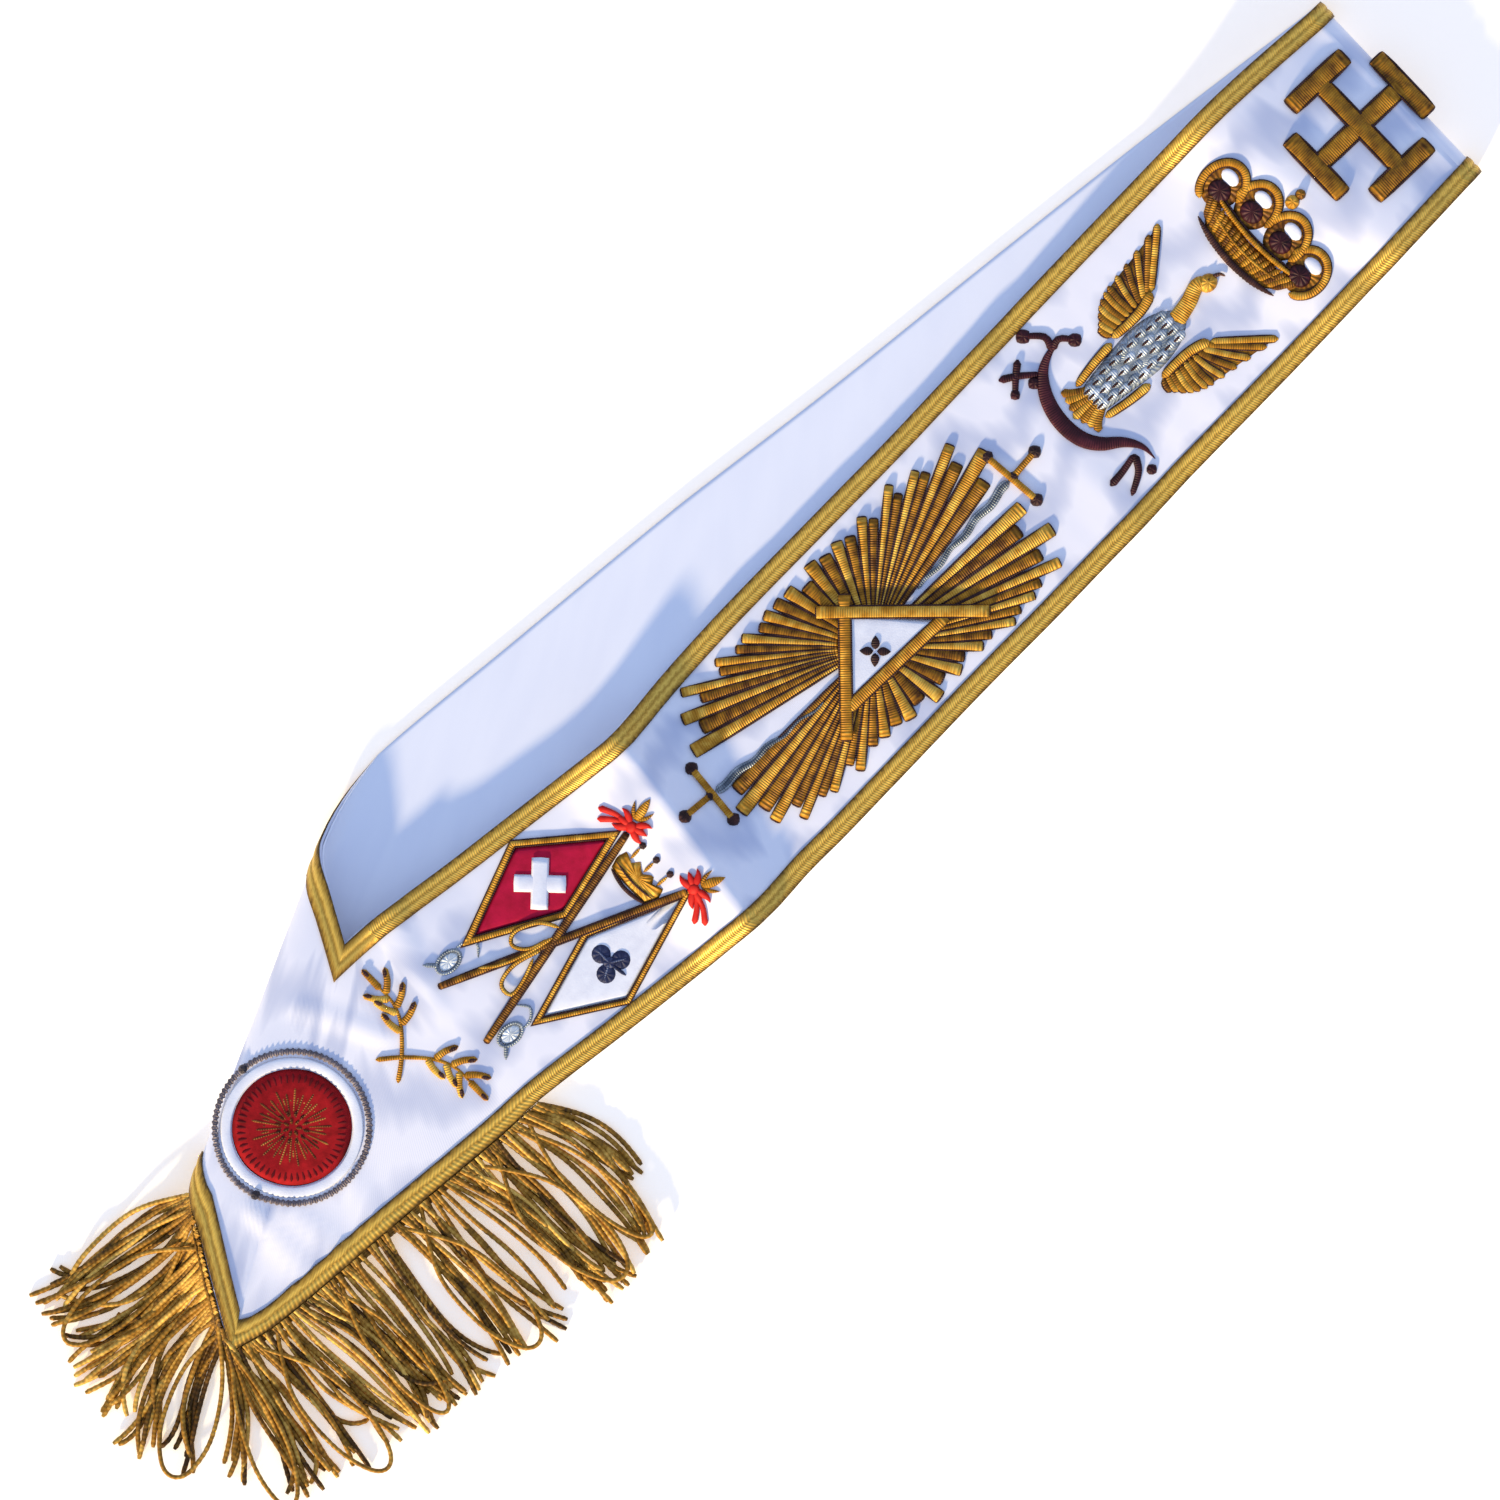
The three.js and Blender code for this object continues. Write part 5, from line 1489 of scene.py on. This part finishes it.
class Scroll:
    """The dark scroll under the bird, with tassels at both ends."""

    CROOK = (
        (-17, 30), (-26, 29), (-34.5, 24), (-41, 14), (-43.5, 2),
        (-42, -9), (-37, -17), (-29, -23.5), (-24, -31), (-23.5, -39),
    )
    KNOBS = ((-13, 25.5, 3.6), (-40, 24, 3.2), (-29, 43, 3.8), (-50, 26, 2.6), (-28, -41.5, 2.8))
    TENDRILS = (
        ((-24, 29), (-22, 36), (-29, 43)),
        ((-24, 29), (-18, 31), (-13, 25.5)),
        ((-51, 36), (-44, 32), (-35, 25)),
        ((-38, 37), (-45, 31), (-50, 26)),
        ((-47, -34), (-38, -33), (-29, -31)),
        ((-29, -31), (-33, -38), (-43, -44)),
    )

    def build(self) -> None:
        maroon = Stitching(Finish.MAROON)
        maroon.sweep(curve(BIRD_PLACE.set(self.CROOK)), 7.6, 1.9, 0.0, 0.4, crescent)
        for x, y, size in self.KNOBS:
            maroon.cushion(diamond(BIRD_PLACE.set([(x, y)])[0], size), 1.8, 0.1, 0.2)
        for points in self.TENDRILS:
            maroon.sweep(curve(BIRD_PLACE.set(points), 6), 3.8, 1.6, 0.0, 0.25, tapering(1.0, 0.7))
        maroon.lay("Scroll", "scroll")


class Bird:
    """A bird with spread wings, a silver breast and a gold tail."""

    BREAST = (
        (-30, -3), (-31, 2), (-26, 7), (-12, 9.5), (6, 11.5), (19, 10), (28, 5),
        (31, 1), (29, -4), (20, -9), (6, -11), (-12, -9), (-26, -7),
    )
    NECK = ((0.22, 0.0), (0.31, 0.02), (0.375, 0.045), (0.41, 0.03))
    BEAK = ((3.4, 0.5, 0), (6.6, -0.8, 0), (7.8, -3.2, 0))
    WING_BONE = ((0, 14.5), (9, 14), (18, 14.5), (27, 17))
    WING_TIPS = ((0, 22), (5, 28.5), (13, 32.5), (30, 35), (50.5, 38))
    WING_FEATHERS = 12
    BREAST_ROWS = 9
    TAIL_FEATHERS = 7

    def build(self) -> None:
        self._body()
        self._tail()
        for side, label in ((1, "upper"), (-1, "lower")):
            self._wing(side, label)

    def _body(self) -> None:
        silver, throat, thighs, dark = threads(Finish.SILVER, Finish.GOLD, Finish.GOLD, Finish.DARK)
        silver.cushion(curve(BIRD_PLACE.set(self.BREAST), 6, True), 2.2, 0.0, 0.4, rings=7)
        for row in range(self.BREAST_ROWS):
            share = row / (self.BREAST_ROWS - 1)
            x = lerp(-24, 22, share)
            half = 9.5 * math.cos((share - 0.62) * 1.5)
            count = 3 if row % 2 else 4
            for k in range(count):
                y = lerp(-half, half, (k + 0.5) / count)
                start, end = BIRD_PLACE.set([(x + 4, y), (x - 3.5, y * 1.06)])
                tone = 0.75 - 0.3 * ((k + row) % 2)
                silver.sweep([start, end], 4.6, 1.1, 1.5, tone, leaf, step=1.2, around=FINE)
                dark.sweep([start.lerp(end, 0.4), end], 1.2, 0.7, 2.1, 0.4, step=1.5, around=FINE)
        silver.lay("Bird body", "bird_body")
        neck = curve([BIRD_PLACE.at(x, y) for x, y in self.NECK], 6)
        throat.sweep(neck, 8.5, 2.4, 0.2, 0.6, tapering(1.0, 0.75), step=1.5)
        head = BIRD_PLACE.at(0.415, 0.022)
        throat.cushion(ring(head, 4.8, 4.2, 18), 2.6, 0.4, 0.65)
        throat.lay("Bird neck")
        beak = curve([head + Vector(point) for point in self.BEAK], 5)
        dark.sweep(beak, 2.2, 1.6, 0.6, 0.7, tapering(1.1, 0.4), step=0.8, around=FINE)
        dark.cushion(arc(Vector((head.x + 1, head.y + 0.9, 0)), 0.8, 0.8, steps=8), 0.7, 2.9, 0.1)
        for side in (1, -1):
            line = BIRD_PLACE.set([(-2, side * 12.8), (-14, side * 11.8), (-27, side * 9.6)])
            thighs.outlined(curve(line, 5), 4.4, 1.6, dark, 0.6, 0.0, tapering(0.9, 0.7), edge=0.9)
        thighs.lay("Bird thighs")
        dark.lay("Bird outlines")

    def _tail(self) -> None:
        gold = Stitching(Finish.GOLD)
        half = (self.TAIL_FEATHERS - 1) / 2
        for k in range(self.TAIL_FEATHERS):
            spread = (k - half) / half
            quill = [(-24, 5 * spread), (-31, 9 * spread), (-38 + 4 * abs(spread), 12.5 * spread)]
            line = BIRD_PLACE.set(quill)
            gold.sweep(curve(line, 4), 4.2, 1.5, 0.0, 0.3 + 0.3 * (k % 2), tapering(0.7, 1.0), step=1.5)
        gold.lay("Bird tail", "bird_tail")

    def _wing(self, side: int, label: str) -> None:
        gold, dark = threads(Finish.GOLD, Finish.DARK)
        shift = 0.0 if side > 0 else 4.0
        bone = [(x + shift, side * y) for x, y in self.WING_BONE]
        line = curve(BIRD_PLACE.set(bone), 6)
        gold.outlined(line, 5.0, 2.0, dark, 0.6, 0.3, tapering(0.7, 0.9), edge=1.0)
        tips = curve([(x + shift, side * y) for x, y in self.WING_TIPS])
        middle = (14.0 + shift, side * 24.0)
        ground = [(lerp(x, middle[0], 0.1), lerp(y, middle[1], 0.1)) for x, y, *_ in bone[:3] + tips[::-4]]
        gold.cushion(BIRD_PLACE.set(ground), 0.9, 0.0, 0.2)
        for k in range(self.WING_FEATHERS):
            share = k / (self.WING_FEATHERS - 1)
            foot = Vector((lerp(0, 27, share) + shift, side * lerp(15, 17.5, share), 0))
            tip = tips[round(share * (len(tips) - 1))]
            sway = Vector((-1.5, side * 1.5, 0)) * (1 - share)
            line = curve(BIRD_PLACE.set([foot, foot.lerp(tip, 0.5) + sway, tip]), 6)
            tone, lift = 0.28 + 0.34 * (k % 2), 0.06 * (k % 2)
            gold.outlined(line, 3.9, 1.4, dark, tone, lift, tapering(0.8, 0.85), edge=1.0)
        gold.lay(f"Bird wing {label}", f"bird_wing_{label}")
        dark.lay(f"Bird wing lines {label}")


class Crown:
    """A closed crown with its band towards the bird."""

    PLACE = Place(0.8825, 0.392, 48.0)
    BARS = 19
    BOW = 4.0
    GEMS = ((-2.5, -26.5), (1.5, -9.5), (1.5, 9.5), (-2.5, 26.5))

    def build(self) -> None:
        gold, dark, arches, cream, ground = threads(
            Finish.GOLD, Finish.DARK, Finish.GOLD, Finish.WHITE, Finish.GOLD)
        foot = curve(self.PLACE.set([(-11.5, -24.0), (-15.6, 0.0), (-11.5, 24.0)]), 6)
        ground.sweep(foot, 14.0, 0.9, 0.0, 0.12, plump=0.3)
        for k in range(self.BARS):
            share = 2 * k / (self.BARS - 1) - 1
            bow = self.BOW * share * share
            line = self.PLACE.set([(-19.5 + bow, 22 * share), (-8.5 + bow, 28.5 * share)])
            gold.sweep(line, 3.0, 1.7, 0.2, 0.1 + 0.3 * (k % 2), step=1.5)
        cords = ((-21.0, 25.0, dark, 3.6), (-13.8, 26.0, gold, 1.6), (-7.2, 30.5, gold, 2.6))
        for x, half, thread, width in cords:
            thread.sweep(self._rim(x, half), width, 2.1, 0.3, 0.42, step=0.8, twist=1.6, lobes=0.25)
        dark.sweep(self._rim(-5.4, 30.5), 1.2, 1.4, 0.1, 0.3)
        gold.lay("Crown band", "crown_band")
        for index, (x, y) in enumerate(self.GEMS):
            gem = Stitching(Finish.MAROON)
            spot, shine, low = self.PLACE.set([(x, y), (x + 7.4, y * 1.04), (x + 2.5, y * 1.02)])
            gem.cushion(ring(spot, 5.2, 6.0, 20), 2.5, 0.3, 0.2, rings=6)
            ground.cushion(ring(low, 10.5, 9.2, 24), 0.8, 0.0, 0.12, plump=0.3)
            gem.lay(f"Crown gem {index + 1}", f"crown_gem_{index + 1}")
            cream.cushion(ring(shine, 3.6, 5.4, 18), 1.6, 0.1)
            lean = round(22 * y / 30)
            first, last = lean - (150 if index == 0 else 112), lean + (150 if index == 3 else 112)
            lobe = [(x + 2.5 + 11.5 * math.cos(math.radians(a)), y * 1.02 + 9.6 * math.sin(math.radians(a)))
                    for a in range(first, last, 14)]
            line = curve(self.PLACE.set(lobe), 3)
            arches.outlined(line, 3.4, 1.8, dark, 0.5, 0.05 * (index % 2), tapering(1.0, 1.0), edge=1.0)
        for x, size, tone in ((17.5, 3.4, 0.6), (22.5, 2.6, 0.1)):
            arches.cushion(ring(self.PLACE.set([(x, 0)])[0], size, size, 14), 2.4, 0.2, tone)
        arches.lay("Crown arches", "crown_arches")
        cream.lay("Crown shines")
        ground.lay("Crown ground")
        dark.lay("Crown outlines")

    def _rim(self, x: float, half: float) -> list[Vector]:
        """A bowed line across the crown."""
        return self.PLACE.set([(x + self.BOW * (s / 8) ** 2, half * s / 8) for s in range(-8, 9)])


class Cross:
    """The cross whose four arms end in bars."""

    SPAN = 64.0
    ARM = 8.5
    BAR = 35.0

    def build(self) -> None:
        place = Place(0.964, 0.43, self.SPAN)
        gold, dark = threads(Finish.GOLD, Finish.DARK)
        half = self.SPAN / 2
        for degrees, lift in ((0, 0.0), (90, 0.12)):
            bars = [([(-half + 4, 0), (half - 4, 0)], 0.34, lift)]
            for x in (self.ARM / 2 - half, half - self.ARM / 2):
                bars.append(([(x, -self.BAR / 2), (x, self.BAR / 2)], 0.28, 0.24))
            for points, tone, base in bars:
                line = place.set(points, degrees=degrees)
                gold.outlined(line, self.ARM, 1.7, dark, tone, base, square, edge=1.4, plump=0.45)
        gold.lay("Cross", "cross_potent")
        dark.lay("Cross outlines")


@dataclass(frozen=True)
class Lock:
    """One lock of the fringe: where it starts, its way in degrees, its length and its bend."""

    start: float
    points: float
    length: float
    bend: float


@dataclass(frozen=True)
class Hoop:
    """A cord that comes back to the head: shares of the head, its way in degrees, reach and half width."""

    first: float
    last: float
    points: float
    reach: float
    width: float


class Fringe:
    """Twisted gold cords that hang from a woven head along the hip."""

    LENGTH = 88.0
    HEAD = 4.0
    CORD = 2.5
    CORDS_PER_LOCK = 8
    STEPS = 56
    ROOT_RISE = 1.2
    LOCKS = (
        (
            Lock(0.01, -74, 0.65, 0.1),
            Lock(0.04, -86, 0.98, 0.12),
            Lock(0.09, -88, 1.0, 0.05),
            Lock(0.14, -86, 1.01, -0.04),
            Lock(0.19, -84, 1.0, 0.08),
            Lock(0.25, -87, 0.98, -0.06),
            Lock(0.31, -92, 0.96, 0.04),
            Lock(0.37, -96, 0.93, -0.05),
            Lock(0.43, -94, 0.9, 0.05),
        ),
        (
            Lock(0.48, -90, 0.9, -0.04),
            Lock(0.53, -88, 0.93, 0.06),
            Lock(0.58, -86, 0.92, -0.06),
            Lock(0.63, -92, 0.86, 0.05),
            Lock(0.67, -101, 0.87, -0.04),
            Lock(0.705, -107, 0.83, 0.05),
            Lock(0.73, -129, 0.77, 0.1),
            Lock(0.75, -147, 0.77, -0.12),
        ),
        (
            Lock(0.79, -161, 0.9, -0.1),
            Lock(0.83, -173, 0.93, -0.05),
            Lock(0.86, 178, 0.93, 0.05),
            Lock(0.89, 175, 0.92, 0.08),
            Lock(0.92, -174, 0.84, 0.14),
            Lock(0.95, 172, 0.96, 0.12),
            Lock(0.98, 169, 0.98, 0.08),
            Lock(0.995, 172, 0.9, -0.08),
        ),
    )
    HOOPS = (
        (Hoop(0.03, 0.06, -84, 80, 8), Hoop(0.1, 0.16, -84, 86, 13), Hoop(0.27, 0.33, -88, 84, 12)),
        (Hoop(0.46, 0.49, -92, 80, 8), Hoop(0.6, 0.66, -90, 84, 11), Hoop(0.69, 0.72, -112, 78, 9)),
        (Hoop(0.745, 0.79, -150, 76, 12), Hoop(0.9, 0.96, 176, 80, 11)),
    )
    HOOP_FORM = ((0.35, -0.75), (0.7, -1.0), (0.93, -0.6), (1.0, 0.0), (0.93, 0.6), (0.7, 1.0), (0.35, 0.75))

    def __init__(self) -> None:
        self.rng = random.Random(7)
        self.first = loop.UPPER_STEPS - 1
        self.last = loop.fold_start + int(loop.ROLL_STEPS * 0.4)
        self.line = self._row(0.15)
        self.sums = running(self.line)

    def _row(self, share: float) -> list[Vector]:
        """The line along the hip's edge at a share of the head's height."""
        made = []
        for i in range(self.first, self.last + 1):
            outward = (loop.grid[i][0] - loop.grid[i][1]).normalized()
            off = BAND.gap + self.HEAD * share * loop.slant(i, "outer")
            made.append(loop.point(i, 0.0, 0.0) + outward * off)
        return made

    def _root(self, share: float) -> Vector:
        """Where a cord leaves the head, at a share of its length."""
        return at_distance(self.line, self.sums, clamp(share) * self.sums[-1])

    def build(self) -> None:
        head = Stitching(Finish.FRINGE)
        for share, tone in ((0.1, 0.25), (0.4, 0.3), (0.7, 0.25)):
            head.sweep(self._row(share), 1.9, 1.4, -0.9, tone, step=1.1, twist=1.4, lobes=0.2)
        head.keep("Fringe head")
        for index, (locks, hoops) in enumerate(zip(self.LOCKS, self.HOOPS)):
            cords = Stitching(Finish.FRINGE)
            for lock in locks:
                self._lock(cords, lock)
            for hoop in hoops:
                self._hoop(cords, hoop)
            cords.keep(f"Fringe cords {index + 1}", *(["fringe"] if index == 0 else []))

    def _hoop(self, cords: Stitching, hoop: Hoop) -> None:
        """A cord that hangs out as a long loop and comes back to the head."""
        way = heading(math.radians(hoop.points))
        side = leftward(way)
        first, last = self._root(hoop.first), self._root(hoop.last)
        low = first.lerp(last, 0.5) * Vector((1, 1, 0))
        rise = Vector((0, 0, self.CORD * 2.4))
        line = [first]
        for out, across in self.HOOP_FORM:
            line.append(low + way * hoop.reach * out + side * hoop.width * across + rise)
        line.append(last)
        cords.sweep(curve(line), self.CORD * 0.9, self.CORD * 0.9, -self.CORD / 2, 0.5, even,
                    plump=1.0, step=1.7, twist=0.9, lobes=0.16)

    def _lock(self, cords: Stitching, lock: Lock) -> None:
        """The cords of one lock, spread round its way."""
        rng = self.rng
        for k in range(self.CORDS_PER_LOCK):
            spread = 2 * (k + 0.5) / self.CORDS_PER_LOCK - 1
            root = self._root(lock.start + spread * 0.024 + rng.uniform(-0.005, 0.005))
            root.z += self.ROOT_RISE
            degrees = lock.points + spread * rng.uniform(-1.0, 5.0) + rng.gauss(0, 2.2)
            reach = self.LENGTH * lock.length * rng.uniform(0.84, 1.04)
            self._cord(cords, root, degrees, reach, lock.bend + rng.gauss(0, 0.05), rng.random())

    def _cord(self, cords: Stitching, root: Vector, degrees: float, reach: float, bend: float,
              layer: float) -> None:
        """One twisted cord that falls from the head, and then lies in soft waves over others."""
        rng = self.rng
        angle = math.radians(degrees)
        curl = rng.gauss(0, 0.8) if rng.random() < 0.22 else rng.gauss(0, 0.25)
        sway = rng.uniform(0, 6.28)
        wave = rng.uniform(0.02, 0.08)
        height = self.CORD / 2 + layer * 4.2
        point = root.copy()
        line = [point.copy()]
        for k in range(self.STEPS):
            share = (k + 1) / self.STEPS
            way = angle + bend * 2.6 * math.cos(math.pi * share)
            way += wave * math.sin(3.2 * math.pi * share + sway)
            way += curl * max(0.0, share - 0.55) ** 2 * 4
            point = point + heading(way) * (reach / self.STEPS)
            fall = max(0.0, 1 - share * 2.2) ** 2
            rest = height * (0.55 + 0.45 * math.sin(2.2 * math.pi * share + sway) ** 2)
            line.append(Vector((point.x, point.y, max(self.CORD / 2, lerp(rest, root.z, fall)))))
        cords.sweep(line, self.CORD, self.CORD, -self.CORD / 2, clamp(0.46 + rng.gauss(0, 0.24)),
                    lambda share: 1.0 if share < 0.985 else 0.7, plump=1.0,
                    step=1.7, twist=rng.choice((0.85, 0.95)), lobes=0.16)


class Studio:
    """Camera, floor and light."""

    VIEW_CENTRE = Vector((362.2, 32.2, 0.0))
    VIEW_WIDTH = 687.5
    LENS = 135.0
    SENSOR = 36.0
    TURN = -math.atan2(0.6884, 0.7254)
    FLOOR_HALF = 14.0
    FLOOR_GLOW = 0.46
    KEY_ENERGY = 5.2
    KEY_ELEVATION = 15.5
    KEY_COLOUR = (1.0, 0.8, 0.45)
    SKY_COLOUR = (0.53, 0.68, 1.0, 1.0)
    SKY_STRENGTH = 0.84

    def camera(self) -> None:
        """The photograph's view, from straight above."""
        data = bpy.data.cameras.new("Camera")
        data.lens = self.LENS
        data.sensor_width = self.SENSOR
        data.clip_end = 20.0
        camera = bpy.data.objects.new("Camera", data)
        bpy.context.scene.collection.objects.link(camera)
        distance = self.VIEW_WIDTH * self.LENS / self.SENSOR
        camera.location = to_row(self.VIEW_CENTRE + Vector((0, 0, distance)))
        camera.rotation_euler = (0.0, 0.0, self.TURN)
        bpy.context.scene.camera = camera

    def floor(self) -> None:
        """A plain pale floor."""
        bm = bmesh.new()
        bmesh.ops.create_grid(bm, x_segments=1, y_segments=1, size=self.FLOOR_HALF)
        mesh = bpy.data.meshes.new("Floor")
        bm.to_mesh(mesh)
        bm.free()
        nodes = Nodes("floor")
        nodes.set(Base_Color=(0.95, 0.95, 0.94, 1.0), Roughness=0.95, Specular_IOR_Level=0.1)
        nodes.set(Emission_Color=(1.0, 0.8, 0.5, 1.0), Emission_Strength=self.FLOOR_GLOW)
        mesh.materials.append(nodes.material)
        floor = bpy.data.objects.new("Floor", mesh)
        bpy.context.scene.collection.objects.link(floor)

    def light(self) -> None:
        """One low soft key and an even sky."""
        key = bpy.data.lights.new("Key", "SUN")
        key.energy = self.KEY_ENERGY
        key.angle = math.radians(4)
        key.color = self.KEY_COLOUR
        lamp = bpy.data.objects.new("Key", key)
        bpy.context.scene.collection.objects.link(lamp)
        travel = Vector((0.92, 0.38, -math.tan(math.radians(self.KEY_ELEVATION)))).normalized()
        lamp.rotation_euler = travel.to_track_quat("-Z", "Y").to_euler()
        world = bpy.data.worlds.new("Studio")
        world.use_nodes = True
        background = world.node_tree.nodes["Background"]
        background.inputs["Color"].default_value = self.SKY_COLOUR
        background.inputs["Strength"].default_value = self.SKY_STRENGTH
        bpy.context.scene.world = world
        bpy.context.scene.view_settings.view_transform = "Standard"


def main() -> None:
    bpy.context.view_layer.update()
    studio = Studio()
    studio.camera()
    studio.floor()
    studio.light()
    for maker in (Band, Fringe, Rosette, Sprigs, Trophy, Glory, Scroll, Bird, Crown, Cross):
        maker().build()


if __name__ == "__main__":
    main()
